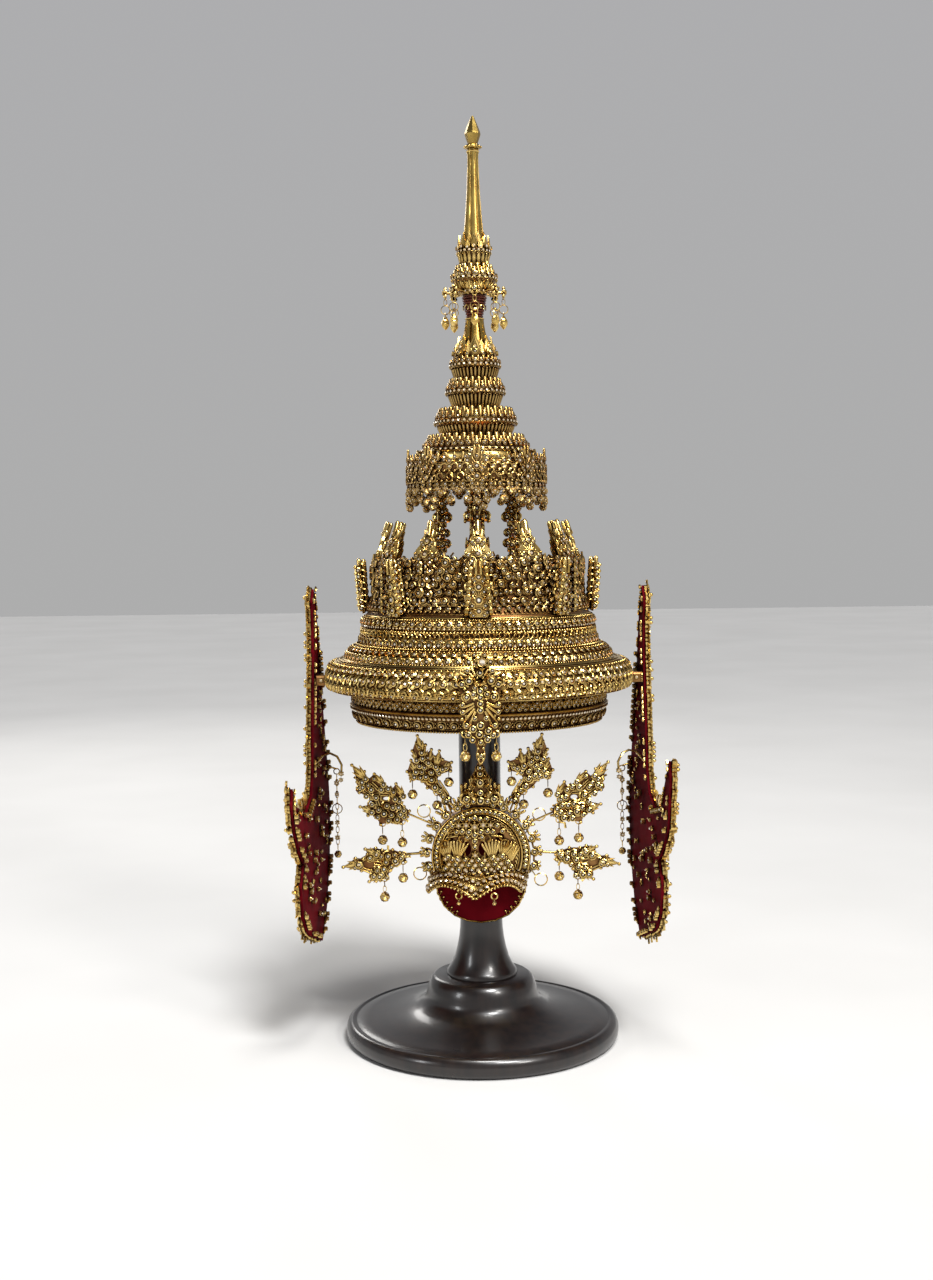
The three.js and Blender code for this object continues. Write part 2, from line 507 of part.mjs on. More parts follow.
// Sprays on wires: the edge of each plate as [x, z], where its wire runs, and its drops as [x, z, length].
const SPRAYS = [
  {
    name: 'upper', y: -28.0, wire: [[21.6, 178.4], [27.4, 192.4]],
    edge: [
      [25.4, 186.4], [34.4, 195.2], [39.8, 198.4], [43.6, 203.4], [52.2, 205.4], [54.8, 211.0],
      [51.8, 219.4], [47.6, 215.8], [46.6, 220.0], [50.8, 226.6], [46.8, 238.0], [40.8, 231.0],
      [40.4, 224.4], [36.4, 227.4], [34.0, 221.8], [30.4, 226.4], [28.0, 219.8], [21.4, 217.6],
      [22.2, 211.0], [30.6, 208.2], [32.6, 203.8], [28.0, 197.6], [22.6, 190.6],
    ],
    drops: [[32.6, 196.5, 15.5], [51.0, 208.0, 18.5], [23.6, 215.0, 16.5]],
  },
  {
    name: 'middle', y: -28.0, wire: [[31.4, 168.4], [58.4, 180.4]],
    edge: [
      [55.0, 176.6], [60.0, 171.6], [66.4, 172.6], [75.4, 171.0], [79.6, 177.6], [84.8, 178.0],
      [90.6, 184.6], [81.4, 186.4], [82.4, 190.6], [91.0, 195.4], [92.6, 203.6], [96.4, 216.4],
      [87.0, 211.4], [84.2, 205.4], [79.6, 209.4], [76.4, 203.4], [70.6, 199.6], [66.4, 197.6],
      [63.4, 201.8], [58.6, 195.4], [60.4, 189.4], [57.4, 184.2], [53.6, 181.0],
    ],
    drops: [[74.0, 173.6, 18.6], [59.2, 174.8, 21.8]],
  },
  {
    name: 'lower', y: -33.0, wire: [[37.7, 150.0], [63.0, 148.5]],
    edge: [
      [60.6, 143.0], [66.0, 141.4], [69.0, 136.4], [70.4, 130.8], [76.0, 129.4], [84.4, 128.6],
      [80.6, 134.4], [82.6, 137.6], [90.0, 137.0], [103.8, 139.8], [94.4, 146.4], [88.6, 146.0],
      [85.4, 149.4], [87.0, 153.4], [79.0, 154.0], [74.4, 152.6], [66.4, 152.6], [61.0, 150.6],
      [56.2, 147.4], [56.8, 143.4],
    ],
    drops: [[58.8, 145.4, 18.4], [72.8, 132.6, 20.0]],
  },
];
const SPRAY_WIRE = { width: 1.4, ball: 5.0 };
for (const { name, y, wire, edge, drops } of SPRAYS) {
  for (const [sideName, side] of [['left', -1], ['right', 1]]) {
    const at = ([x, z]) => new THREE.Vector3(side * x, y, z);
    const shape = new THREE.Shape(edge.map(([x, z]) => new THREE.Vector2(side * x, z)));
    const blade = plate(shape, PLATE, 1).translate(0, y, 0);
    const hung = drops.flatMap(([x, z, length]) => drop(at([x, z]), length, SPRAY_WIRE.ball));
    addPiece(`nape_spray_${sideName}_${name}`, weld([blade, rod(...wire.map(at), SPRAY_WIRE.width), ...hung]));
  }
}

// Ear wings: flat jewelled plates, opening outwards towards the nape, with a chain of drops at the rear edge
const WING_EDGE = [
  { y: 12, z: 71.5 }, { y: -36, z: 88.5 }, { y: -46, z: 95 }, { y: -57, z: 107 }, { y: -62, z: 130 },
  { y: -52, z: 146 }, { y: -68, z: 159 }, { y: -82, z: 176 },
];
const WING_FRONT = [
  { y: -60, z: 188 }, { y: -38, z: 183 }, { y: -20, z: 191 }, { y: -13, z: 206 }, { y: -9, z: 245 },
  { y: -3, z: 290 }, { y: -2, z: 322 }, { y: -5, z: 338 }, { y: 2, z: 348 }, { y: 9, z: 336 },
  { y: 14, z: 318 }, { y: 22, z: 280 }, { y: 34, z: 240 }, { y: 45, z: 205 }, { y: 52, z: 170 },
  { y: 47, z: 130 }, { y: 32, z: 94 },
];
const WING_LOBE = { y: -86.0, rearY: -89.0, frontY: -76.0, shoulder: 14.0 };
const WINGS = [{ name: 'left', side: -1, lobeTop: 208.0 }, { name: 'right', side: 1, lobeTop: 225.0 }];
const WING_CHAIN = { y: 40.0, inboard: 9.0, top: 203.0, length: 72.0, ball: 6.0, hookWidth: 1.6 };
const BRACKET = { z: 278.0, from: 116.7 + GAP, height: 8.0, depth: 6.0 };
for (const { name, side, lobeTop } of WINGS) {
  const lobe = [
    { y: WING_LOBE.rearY, z: lobeTop - WING_LOBE.shoulder },
    { y: WING_LOBE.y, z: lobeTop },
    { y: WING_LOBE.frontY, z: lobeTop - WING_LOBE.shoulder },
  ];
  const edge = [...WING_EDGE, ...lobe, ...WING_FRONT];
  const shape = new THREE.Shape(edge.map(({ y, z }) => new THREE.Vector2(y, z)));
  const blade = plate(shape, PLATE, 1)
    .rotateZ(Math.PI / 2 + side * WING_TOE)
    .translate(side * WING_OFFSET, 0, 0);
  const hookX = side * (WING_OFFSET - WING_TOE * WING_CHAIN.y);
  const hook = new THREE.Vector3(hookX, WING_CHAIN.y, WING_CHAIN.top);
  const hang = hook.clone().setX(hook.x - side * WING_CHAIN.inboard);
  const chain = drop(hang, WING_CHAIN.length, WING_CHAIN.ball);
  addPiece(`ear_wing_${name}`, weld([blade, rod(hook, hang, WING_CHAIN.hookWidth), ...chain]), LACQUER);
  const to = WING_OFFSET - PLATE / 2 - GAP - WING_TOE * BRACKET.depth / 2;
  addPiece(`wing_bracket_${name}`, new THREE.BoxGeometry(to - BRACKET.from, BRACKET.depth, BRACKET.height)
    .translate(side * (to + BRACKET.from) / 2, 0, BRACKET.z));
}

export default headdress;
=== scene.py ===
"""Looks of a gilt Thai spired headdress on its turned stand. Lengths in the tables are millimetres."""

import json
import math
import random

import bmesh
import bpy
from mathutils import Matrix, Vector

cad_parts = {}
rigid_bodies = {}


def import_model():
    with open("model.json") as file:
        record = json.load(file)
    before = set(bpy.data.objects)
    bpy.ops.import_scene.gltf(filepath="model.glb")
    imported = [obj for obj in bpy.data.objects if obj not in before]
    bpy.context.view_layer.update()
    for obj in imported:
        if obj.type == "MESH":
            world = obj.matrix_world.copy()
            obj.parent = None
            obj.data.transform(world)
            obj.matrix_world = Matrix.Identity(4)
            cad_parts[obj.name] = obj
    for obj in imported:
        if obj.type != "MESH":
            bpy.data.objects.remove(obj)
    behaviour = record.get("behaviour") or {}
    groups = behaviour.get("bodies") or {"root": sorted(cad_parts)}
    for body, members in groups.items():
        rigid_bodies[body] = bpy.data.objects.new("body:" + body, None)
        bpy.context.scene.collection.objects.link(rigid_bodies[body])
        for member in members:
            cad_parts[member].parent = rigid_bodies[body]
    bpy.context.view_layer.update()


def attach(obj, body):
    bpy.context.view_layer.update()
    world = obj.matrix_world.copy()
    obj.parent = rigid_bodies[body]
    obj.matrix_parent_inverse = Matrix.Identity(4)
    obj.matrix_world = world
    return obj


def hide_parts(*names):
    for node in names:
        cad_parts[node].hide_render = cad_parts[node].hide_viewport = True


MM = 0.001
TAU = 2 * math.pi
SIDES = (-1, 1)
SIDE_WORD = {-1: "left", 1: "right"}
BODY = "root"

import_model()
random.seed(7)


# ---------------------------------------------------------------- finishes
def feed(node, inputs):
    """Gives a node's inputs their values; the output of another node is linked instead."""
    for name, value in inputs.items():
        if isinstance(value, bpy.types.NodeSocket):
            node.id_data.links.new(value, node.inputs[name])
        else:
            node.inputs[name].default_value = value


def add_node(shader, kind, inputs):
    node = shader.id_data.nodes.new(f"ShaderNode{kind}")
    feed(node, inputs)
    return node


def new_finish(name):
    material = bpy.data.materials.new(name)
    material.use_nodes = True
    return material, material.node_tree.nodes["Principled BSDF"]


def object_place(shader, stretch=(1, 1, 1)):
    place = add_node(shader, "TexCoord", {})
    return add_node(shader, "Mapping",
                    {"Vector": place.outputs["Object"], "Scale": stretch}).outputs["Vector"]


def noise(shader, place, scale, detail=3):
    return add_node(shader, "TexNoise",
                    {"Vector": place, "Scale": scale, "Detail": detail}).outputs["Fac"]


def ramp(shader, value, *stops):
    node = add_node(shader, "ValToRGB", {"Fac": value})
    band = node.color_ramp
    for end, (position, color) in zip(band.elements, (stops[0], stops[-1])):
        end.position, end.color = position, (*color, 1)
    for position, color in stops[1:-1]:
        band.elements.new(position).color = (*color, 1)
    return node.outputs["Color"]


def spread_range(shader, value, low, high):
    return add_node(shader, "MapRange", {"Value": value, "To Min": low, "To Max": high}).outputs["Result"]


def bump(shader, height, strength, distance):
    """Fine relief from a height pattern."""
    node = add_node(shader, "Bump", {"Height": height, "Strength": strength, "Distance": distance})
    feed(shader, {"Normal": node.outputs["Normal"]})


def shaded_in_hollows(shader, color, painted_shade_color, reach):
    """The colour where the surface is open, going over to a second colour, painted shade, down in its
    hollows where shade falls.
    """
    shade = add_node(shader, "AmbientOcclusion", {"Distance": reach})
    shade.samples = 6
    openness = ramp(shader, shade.outputs["AO"], (0.46, (0, 0, 0)), (0.96, (1, 1, 1)))
    mix = add_node(shader, "Mix", {})
    mix.data_type = "RGBA"
    painted_shade_input, open_input, mixed = 6, 7, 2
    feed(mix, {"Factor": openness, painted_shade_input: (*painted_shade_color, 1), open_input: color})
    return mix.outputs[mixed]


def gilt(name, light, deep, hollow, roughness):
    material, shader = new_finish(name)
    place = object_place(shader)
    cloud = noise(shader, place, 90)
    color = ramp(shader, cloud, (0.3, deep), (0.65, light))
    # The third colour is painted shade: the gold goes over to it down in the hollows, where the occlusion
    # is deep.
    feed(shader, {"Base Color": shaded_in_hollows(shader, color, hollow, 4 * MM), "Metallic": 1,
                  "Roughness": spread_range(shader, cloud, *roughness)})
    bump(shader, noise(shader, place, 900, 2), 0.25, 0.2 * MM)
    return material


def rhinestone():
    material, shader = new_finish("rhinestone")
    cells = add_node(shader, "TexVoronoi",
                     {"Vector": object_place(shader), "Scale": 260}).outputs["Distance"]
    tint = ramp(shader, cells, (0.1, (0.84, 0.72, 0.50)), (0.5, (0.64, 0.50, 0.33)),
                (0.9, (0.97, 0.92, 0.80)))
    feed(shader, {"Base Color": tint, "Roughness": spread_range(shader, cells, 0.04, 0.12),
                  "Metallic": 0.5, "Coat Weight": 1, "Coat Roughness": 0.03})
    return material


def lacquer():
    material, shader = new_finish("crimson_lacquer")
    place = object_place(shader)
    skin_grain = noise(shader, place, 320, 2)
    color = ramp(shader, noise(shader, place, 35), (0.3, (0.055, 0.002, 0.004)),
                 (0.7, (0.135, 0.004, 0.008)))
    # Painted shade: within 14 mm of other surfaces the red goes nearly black, for example on the plate
    # under the hood.
    feed(shader, {"Base Color": shaded_in_hollows(shader, color, (0.014, 0.001, 0.002), 14 * MM),
                  "Roughness": spread_range(shader, skin_grain, 0.40, 0.56), "Specular IOR Level": 0.002})
    bump(shader, skin_grain, 0.18, 0.3 * MM)
    return material


def varnished_wood():
    material, shader = new_finish("black_varnished_wood")
    grain = noise(shader, object_place(shader, (1, 1, 0.16)), 160, 6)
    dust = noise(shader, object_place(shader), 14, 5)
    feed(shader, {"Base Color": ramp(shader, grain, (0.3, (0.004, 0.003, 0.003)),
                                     (0.72, (0.015, 0.009, 0.007))),
                  "Roughness": spread_range(shader, dust, 0.20, 0.42),
                  "Coat Weight": 0.35, "Coat Roughness": 0.12})
    bump(shader, grain, 0.12, 0.2 * MM)
    return material


def wound_thread():
    material, shader = new_finish("dark_wound_thread")
    cloud = noise(shader, object_place(shader), 420)
    feed(shader, {"Base Color": ramp(shader, cloud, (0.3, (0.055, 0.010, 0.006)),
                                     (0.7, (0.19, 0.045, 0.022))),
                  "Roughness": spread_range(shader, cloud, 0.28, 0.5), "Metallic": 0.35})
    bump(shader, cloud, 0.3, 0.3 * MM)
    return material


def studio_floor():
    material, shader = new_finish("pale_floor")
    cloud = noise(shader, object_place(shader), 3)
    feed(shader, {"Base Color": ramp(shader, cloud, (0.3, (0.54, 0.535, 0.525)),
                                     (0.7, (0.58, 0.575, 0.565))),
                  "Roughness": 0.9})
    return material


GILT = gilt("bright_gilt", (0.88, 0.65, 0.235), (0.64, 0.41, 0.10), (0.14, 0.048, 0.009), (0.18, 0.34))
# Painted light: a lighter copy of the gold, with paler hollows, for the brim, steps and hood, where they
# catch the light.
LIT_GILT = gilt("gilt_painted_lit", (0.92, 0.71, 0.27), (0.70, 0.48, 0.135), (0.36, 0.20, 0.045), (0.20, 0.36))
# Painted shade: a darker copy of the gold for the bell, hub, shaft and finial, and for the wells of the
# brim's settings.
SOFT_SHADE_GILT = gilt("gilt_painted_soft_shade", (0.53, 0.38, 0.105), (0.37, 0.235, 0.058), (0.22, 0.11, 0.022),
                 (0.20, 0.36))
# Painted shade: a darker copy of the gold for the ornaments of the band, coronet wall, fringe and cups,
# which stand in less light.
SHADED_GILT = gilt("gilt_painted_shade", (0.60, 0.41, 0.145), (0.37, 0.225, 0.060), (0.090, 0.026, 0.007),
                 (0.22, 0.38))
# Painted shade: a dark copy of the gold for the backing sheets behind the relief, the deck, the cup bowls
# and the steps' recesses.
DEEP_SHADE_GILT = gilt("gilt_painted_deep_shade", (0.40, 0.215, 0.075), (0.22, 0.095, 0.032), (0.035, 0.011, 0.006),
                (0.26, 0.42))
# Painted shade, the darkest: for the recessed walls of the band, coronet, fringe, collar band and tiers,
# and the wells of the settings.
RECESS_SHADE_GILT = gilt("gilt_painted_recess_shade", (0.27, 0.135, 0.045), (0.12, 0.050, 0.018), (0.022, 0.007, 0.004),
                 (0.34, 0.5))
STONE = rhinestone()
LACQUER = lacquer()
WOOD = varnished_wood()
THREAD = wound_thread()


# ---------------------------------------------------------------- hand tools
def let_go():
    if bpy.context.mode != "OBJECT":
        bpy.ops.object.mode_set(mode="OBJECT")
    bpy.ops.object.select_all(action="DESELECT")


def take(piece):
    let_go()
    piece.select_set(True)
    bpy.context.view_layer.objects.active = piece


def edit(kind="VERT"):
    bpy.ops.object.mode_set(mode="EDIT")
    bpy.ops.mesh.select_mode(type=kind)
    bpy.ops.mesh.select_all(action="SELECT")


def settle():
    """Moves the piece's place, turn and size into its mesh."""
    bpy.ops.object.transform_apply(location=True, rotation=True, scale=True)
    return bpy.context.object


def put_down():
    """Leaves edit mode with the piece's place moved into its mesh."""
    bpy.ops.object.mode_set(mode="OBJECT")
    return settle()


def pick(test):
    """Selects the faces whose centre, in millimetres, and normal pass a test."""
    bpy.ops.mesh.select_mode(type="FACE")
    bpy.ops.mesh.select_all(action="DESELECT")
    piece = bpy.context.object
    mesh = bmesh.from_edit_mesh(piece.data)
    for face in mesh.faces:
        centre = piece.matrix_world @ face.calc_center_median() / MM
        normal = (piece.matrix_world.to_3x3() @ face.normal).normalized()
        face.select_set(bool(test(centre, normal)))
    bmesh.update_edit_mesh(piece.data)


def remove(test):
    """Deletes the faces that pass a test."""
    pick(test)
    bpy.ops.mesh.delete(type="FACE")


def pull(y=0, z=0):
    """Extrudes the picked faces."""
    bpy.ops.mesh.extrude_region_move(TRANSFORM_OT_translate={"value": (0, y * MM, z * MM)})


def pinch(x, y, z):
    bpy.ops.transform.resize(value=(x, y, z))


def inset(width, raised=0, each=False):
    bpy.ops.mesh.inset(thickness=width * MM, depth=raised * MM, use_individual=each)


def clean():
    """Merges doubles and turns every face outwards."""
    bpy.ops.mesh.select_all(action="SELECT")
    bpy.ops.mesh.remove_doubles(threshold=0.002 * MM)
    bpy.ops.mesh.normals_make_consistent(inside=False)


def paint(piece, *materials):
    piece.data.materials.clear()
    for material in materials:
        piece.data.materials.append(material)
    return piece


def paint_picked(piece, slot_index):
    """Coats the picked faces and those that touch them."""
    bpy.ops.mesh.select_more()
    piece.active_material_index = slot_index
    bpy.ops.object.material_slot_assign()


def soften(piece, degrees=35):
    take(piece)
    bpy.ops.object.shade_smooth_by_angle(angle=math.radians(degrees))
    return piece


def trace(points, closed=False):
    """A chain of edges drawn on from point to point; the piece stays in edit mode."""
    let_go()
    bpy.ops.mesh.primitive_plane_add(size=MM, location=Vector(points[0]) * MM)
    edit()
    bpy.ops.mesh.merge(type="CENTER")
    for a, b in zip(points, points[1:]):
        step = (Vector(b) - Vector(a)) * MM
        bpy.ops.mesh.extrude_vertices_move(TRANSFORM_OT_translate={"value": step})
    bpy.ops.mesh.select_all(action="SELECT")
    if closed:
        bpy.ops.mesh.edge_face_add()
    return bpy.context.object


def turned(name, profile, steps, material, degrees=35):
    """A profile of radius and height, spun about the upright axis."""
    piece = trace([(0, -r, z) for r, z in profile])
    piece.name = name
    bpy.ops.mesh.spin(steps=steps, angle=TAU, center=(0, 0, 0), axis=(0, 0, 1))
    clean()
    put_down()
    return soften(paint(piece, material), degrees)


def wire_ring(name, radius, height, thickness, steps, sides=4):
    """A level ring of wire round the upright axis."""
    section = [(radius + thickness / 2 * math.cos(TAU * i / sides),
                height + thickness / 2 * math.sin(TAU * i / sides))
               for i in range(sides + 1)]
    return turned(name, section, steps, GILT, 80)


def wire(name, points, thickness, sides=1, closed=False):
    """A drawn wire that follows points."""
    piece = trace(points)
    piece.name = name
    if closed:
        bpy.ops.mesh.remove_doubles(threshold=0.01 * MM)
    put_down()
    bpy.ops.object.convert(target="CURVE")
    curve = bpy.context.object.data
    curve.bevel_depth = thickness / 2 * MM
    curve.bevel_resolution = sides
    curve.use_fill_caps = not closed
    bpy.ops.object.convert(target="MESH")
    piece = bpy.context.object
    edit()
    clean()
    put_down()
    return soften(paint(piece, GILT), 60)


def cut_sheet(name, outline, thickness, material, *steps):
    """A sheet cut to an outline of x and z. Insets of width and rise step its face, towards the nape."""
    piece = trace([(x, 0, z) for x, z in outline], closed=True)
    piece.name = name
    bpy.ops.mesh.select_mode(type="FACE")
    bpy.ops.mesh.select_all(action="SELECT")
    pull(y=-thickness)
    for width, rise in steps:
        inset(width, rise)
    clean()
    put_down()
    return paint(piece, material)


def posed(lean, spin, size):
    """Leaning by an angle and turned in its own face; the size is one number or one for each axis."""
    scale = Matrix.Diagonal((*(size if isinstance(size, tuple) else (size,) * 3), 1))
    return Matrix.Rotation(-lean, 4, "X") @ Matrix.Rotation(spin, 4, "Y") @ scale


def seat(angle, radius, height, lean=0, size=1, spin=0):
    """A place on a circle round the axis, facing out."""
    out = Matrix.Translation(Vector((0, -radius, height)) * MM)
    return Matrix.Rotation(angle, 4, "Z") @ out @ posed(lean, spin, size)


def spot(x, y, z, size=1, spin=0, lean=0, face=0):
    """A place by its coordinates, facing the nape unless it is turned about the upright axis."""
    place = Matrix.Translation(Vector((x, y, z)) * MM)
    return place @ Matrix.Rotation(face, 4, "Z") @ posed(lean, spin, size)


def row(kind, count, radius, height, lean=0, size=1, spin=0, phase=0):
    """Copies of a master in an even ring, which starts at a share of the pitch."""
    return [(kind, seat(TAU * (i + phase) / count, radius, height, lean, size, spin))
            for i in range(count)]


def lay(places):
    """Copies of masters at their places, each with a mesh of its own."""
    copies = []
    for kind, place in places:
        copy = bpy.data.objects.new("copy", kind.data.copy())
        copy.matrix_world = place
        bpy.context.scene.collection.objects.link(copy)
        copies.append(copy)
    bpy.context.view_layer.update()
    return copies


def join(parts):
    """Joins parts into the first of them."""
    let_go()
    for part in parts:
        part.select_set(True)
    bpy.context.view_layer.objects.active = parts[0]
    if len(parts) > 1:
        bpy.ops.object.join()
    return settle()


def assemble(name, parts, places, node, coats=None):
    """One piece from finished parts and copies of masters, some of its coats changed for others."""
    piece = join([*parts, *lay(places)])
    piece.name = piece.data.name = name
    bpy.data.batch_remove([mesh for mesh in bpy.data.meshes if mesh.users == 0])
    for coat in piece.material_slots if coats else ():
        coat.material = coats.get(coat.material, coat.material)
    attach(piece, BODY)
    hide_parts(node)


# ---------------------------------------------------------------- masters, made once at the origin
MASTERS = []


def keep(piece):
    MASTERS.append(piece)
    return piece


def faces_front(centre, normal):
    return normal.y < -0.9


def faces_back(centre, normal):
    return normal.y > 0.9


def peg(name, sides, radius, depth, *coats, up=0):
    """A peg towards the nape, open at its back, with its front picked. It stays in edit mode."""
    let_go()
    bpy.ops.mesh.primitive_cylinder_add(vertices=sides, radius=radius * MM, depth=depth * MM,
                                        location=(0, -depth / 2 * MM, up * MM), rotation=(TAU / 4, 0, 0))
    piece = paint(bpy.context.object, *coats)
    piece.name = name
    edit("FACE")
    remove(faces_back)
    pick(faces_front)
    return piece


def make_stone(name, sides):
    """A rhinestone of 1 mm radius in its cup, facing the nape."""
    piece = peg(name, sides, 1, 0.8, GILT, STONE)
    inset(0.24, -0.06)
    pull(y=-0.32)
    pinch(0.52, 1, 0.52)
    paint_picked(piece, 1)
    put_down()
    return keep(soften(piece, 12))


def make_pearl():
    """A round bead of 1 mm radius, open at the back."""
    let_go()
    bpy.ops.mesh.primitive_uv_sphere_add(segments=6, ring_count=4, radius=MM, rotation=(TAU / 4, 0, 0),
                                         location=(0, -0.5 * MM, 0))
    piece = paint(bpy.context.object, GILT)
    piece.name = "pearl_master"
    edit("FACE")
    remove(lambda centre, normal: normal.y > 0.5)
    put_down()
    return keep(soften(piece, 80))


def make_loop(name, inner, thickness, steps):
    """A plain ring of drawn wire standing in the plane of the face."""
    piece = wire_ring(name, inner + thickness / 2, 0, thickness, steps, 3)
    piece.rotation_euler = (TAU / 4, 0, 0)
    return keep(settle())


def make_blade(name, outline, thickness, steps):
    """A flat petal or leaf with a stepped face."""
    return keep(soften(cut_sheet(name, outline, thickness, GILT, *steps), 25))


def curl_points(turn_from, turn_to, radius_from, radius_to, count):
    """Points of a curl in the plane of the face, with a radius that changes evenly."""
    points = []
    for i in range(count + 1):
        t = i / count
        angle = turn_from + (turn_to - turn_from) * t
        radius = radius_from + (radius_to - radius_from) * t
        points.append((radius * math.cos(angle), 0, radius * math.sin(angle)))
    return points


def make_scroll(name, points, thickness, lift):
    """A curl of wire that stands a little off its ground."""
    piece = wire(name, points, thickness, 0)
    piece.location.y = -lift * MM
    return keep(settle())


def make_flower_ball():
    """A ball of small set stones, 1 mm in radius."""
    let_go()
    bpy.ops.mesh.primitive_ico_sphere_add(subdivisions=1, radius=0.92 * MM)
    piece = paint(bpy.context.object, GILT, STONE)
    piece.name = "flower_ball_master"
    edit("FACE")
    inset(0.17, 0.20, each=True)
    piece.active_material_index = 1
    bpy.ops.object.material_slot_assign()
    put_down()
    return keep(soften(piece, 10))


def make_rosette():
    """A set stone with six petals, 1 mm in radius over all."""
    petals = 6
    peg("rosette_master", 4, 0.34, 0.4, GILT, STONE, up=0.68)
    pull(y=-0.16)
    pinch(0.5, 1, 0.5)
    bpy.ops.mesh.select_all(action="SELECT")
    bpy.ops.mesh.spin(steps=petals, angle=TAU, dupli=True, center=(0, 0, 0), axis=(0, 1, 0))
    clean()
    stone = (STONE6, spot(0, -0.1, 0, (0.60, 0.95, 0.60)))
    return keep(soften(join([put_down(), *lay([stone])]), 20))


def make_bud():
    """A closed flower bud that hangs from its stem, 6.4 mm long."""
    profile = [(0, 0), (0.8, -0.3), (1.1, -1.2), (1.7, -2.2), (1.9, -3.4), (1.5, -4.8), (0.8, -5.8),
               (0, -6.4)]
    piece = turned("bud_master", profile, 10, GILT, 30)
    edit("FACE")
    pick(lambda centre, normal: -4.9 < centre.z < -1.3)
    inset(0.20, 0.16, each=True)
    put_down()
    return keep(soften(piece, 20))


def make_finger():
    """An upright blunt bar, 1 mm thick and 2 mm tall."""
    let_go()
    bpy.ops.mesh.primitive_cylinder_add(vertices=6, radius=0.5 * MM, depth=1.7 * MM,
                                        location=(0, 0, 0.85 * MM))
    piece = paint(bpy.context.object, GILT)
    piece.name = "finger_master"
    edit("FACE")
    remove(lambda centre, normal: normal.z < -0.9)
    pick(lambda centre, normal: normal.z > 0.9)
    pull(z=0.3)
    pinch(0.5, 0.5, 1)
    put_down()
    return keep(soften(piece, 70))


def make_ring_setting():
    """A stone sunk in a round wall of gold, 1 mm in radius."""
    piece = peg("ring_setting_master", 7, 1, 0.9, GILT, STONE, RECESS_SHADE_GILT)
    inset(0.24, 0.12)
    inset(0.19, -0.52)
    # The well round the stone is coated in painted shade.
    paint_picked(piece, 2)
    pick(lambda centre, normal: normal.y < -0.9 and centre.x ** 2 + centre.z ** 2 < 0.01)
    pull(y=-0.46)
    pinch(0.58, 1, 0.58)
    paint_picked(piece, 1)
    put_down()
    return keep(soften(piece, 12))


STONE8 = make_stone("stone_master", 8)
STONE4 = make_stone("square_stone_master", 4)
SETTING = make_ring_setting()
STONE6 = make_stone("small_stone_master", 6)
PEARL = make_pearl()
LOOP = make_loop("loop_master", 0.66, 0.46, 10)
RING = make_loop("thin_ring_master", 0.84, 0.24, 14)
PETAL = make_blade("petal_master",
                   [(-0.30, 0), (-0.50, 0.7), (-0.30, 1.4), (0, 2), (0.30, 1.4), (0.50, 0.7), (0.30, 0)],
                   0.35, ((0.10, 0), (0.12, 0.16)))
CRESCENT = make_scroll("crescent_master", curl_points(0.6, TAU - 0.9, 0.95, 1, 7), 0.42, 0.25)
COMMA = make_scroll("comma_master", [*curl_points(-0.3, TAU * 0.78, 0.35, 0.85, 8), (0.55, 0, -1.25),
                                     (1.25, 0, -1.35)], 0.42, 0.25)
LEAF, CURL = {}, {}
for side in SIDES:
    LEAF[side] = make_blade("leaf_master", [(side * x, z) for x, z in (
        (-1.3, 0), (-2.5, 2.6), (-1.9, 5), (0.8, 8.4), (2.6, 10), (2.2, 6.6), (1.6, 4.6), (2.4, 2.2),
        (1.2, 0))], 0.9, ((0.34, 0), (0.22, -0.35), (0.50, 0.55)))
    CURL[side] = make_scroll("curl_master", [(side * x, y, z) for x, y, z in (
        (-1.7, 0, -1.05), *curl_points(3.7, -1.2, 1, 0.72, 7))], 0.46, 0.45)
FLOWER_BALL = make_flower_ball()
ROSETTE = make_rosette()
BUD = make_bud()
FINGER = make_finger()


def rows(*table):
    """Rings of copies: kind, count, radius, height, lean, size, turn, and start as a share of pitch."""
    return [place for line in table for place in row(*line)]


def both(*table):
    """Places alike on the left and the right: kind, x, y, z, size and turn."""
    places = []
    for kind, x, y, z, size, *turn in table:
        for side in SIDES:
            one = kind[side] if isinstance(kind, dict) else kind
            places.append((one, spot(side * x, y, z, size, side * (turn[0] if turn else 0))))
    return places


def knots(count, radius, height, lean, size, spread, phase=0, dots=((-1, 0), (1, 0), (0, 1), (0, -1))):
    """A little group of beads at every step of a ring."""
    pitch = TAU * radius / count
    return [place for dx, dz in dots
            for place in row(PEARL, count, radius, height + dz * spread, lean, size, 0,
                             phase + dx * spread / pitch)]


JUMP_RING = 2.5         # half the height of the ring that a drop hangs on
CHAIN_PITCH = 4.6       # from one link of a chain to the next, before they share out its length


def hang(x, y, z, length, ball, face=0, end=FLOWER_BALL):
    """A drop on its chain: a jump ring, oval links turned crosswise in turn, and a ball or a bud."""
    ball_height = 2 * ball if end is FLOWER_BALL else 3.2 * ball
    places = [(LOOP, spot(x, y, z - 1.9, JUMP_RING, face=face))]
    run = length - ball_height - 4
    links = max(1, round(run / CHAIN_PITCH))
    pitch = run / links
    for i in range(links):
        turn = face + (TAU / 4 if i % 2 == 0 else 0)
        centre = z - 3.9 - pitch * (i + 0.5)
        places.append((LOOP, spot(x, y, centre, (1.35, 1.5, pitch / 2 + 0.55), face=turn)))
    down, size = (ball, ball) if end is FLOWER_BALL else (0, ball / 2)
    return [*places, (end, spot(x, y, z - length + ball_height - down, size, face=face))]


def hang_round(angle, radius, height, length, ball, end=FLOWER_BALL):
    """A drop that hangs from a ring."""
    x, y = radius * math.sin(angle), -radius * math.cos(angle)
    return hang(x, y, height, length, ball, angle, end)


def moved(places, move):
    """The same places after one more move of the whole group."""
    return [(one, move @ place) for one, place in places]


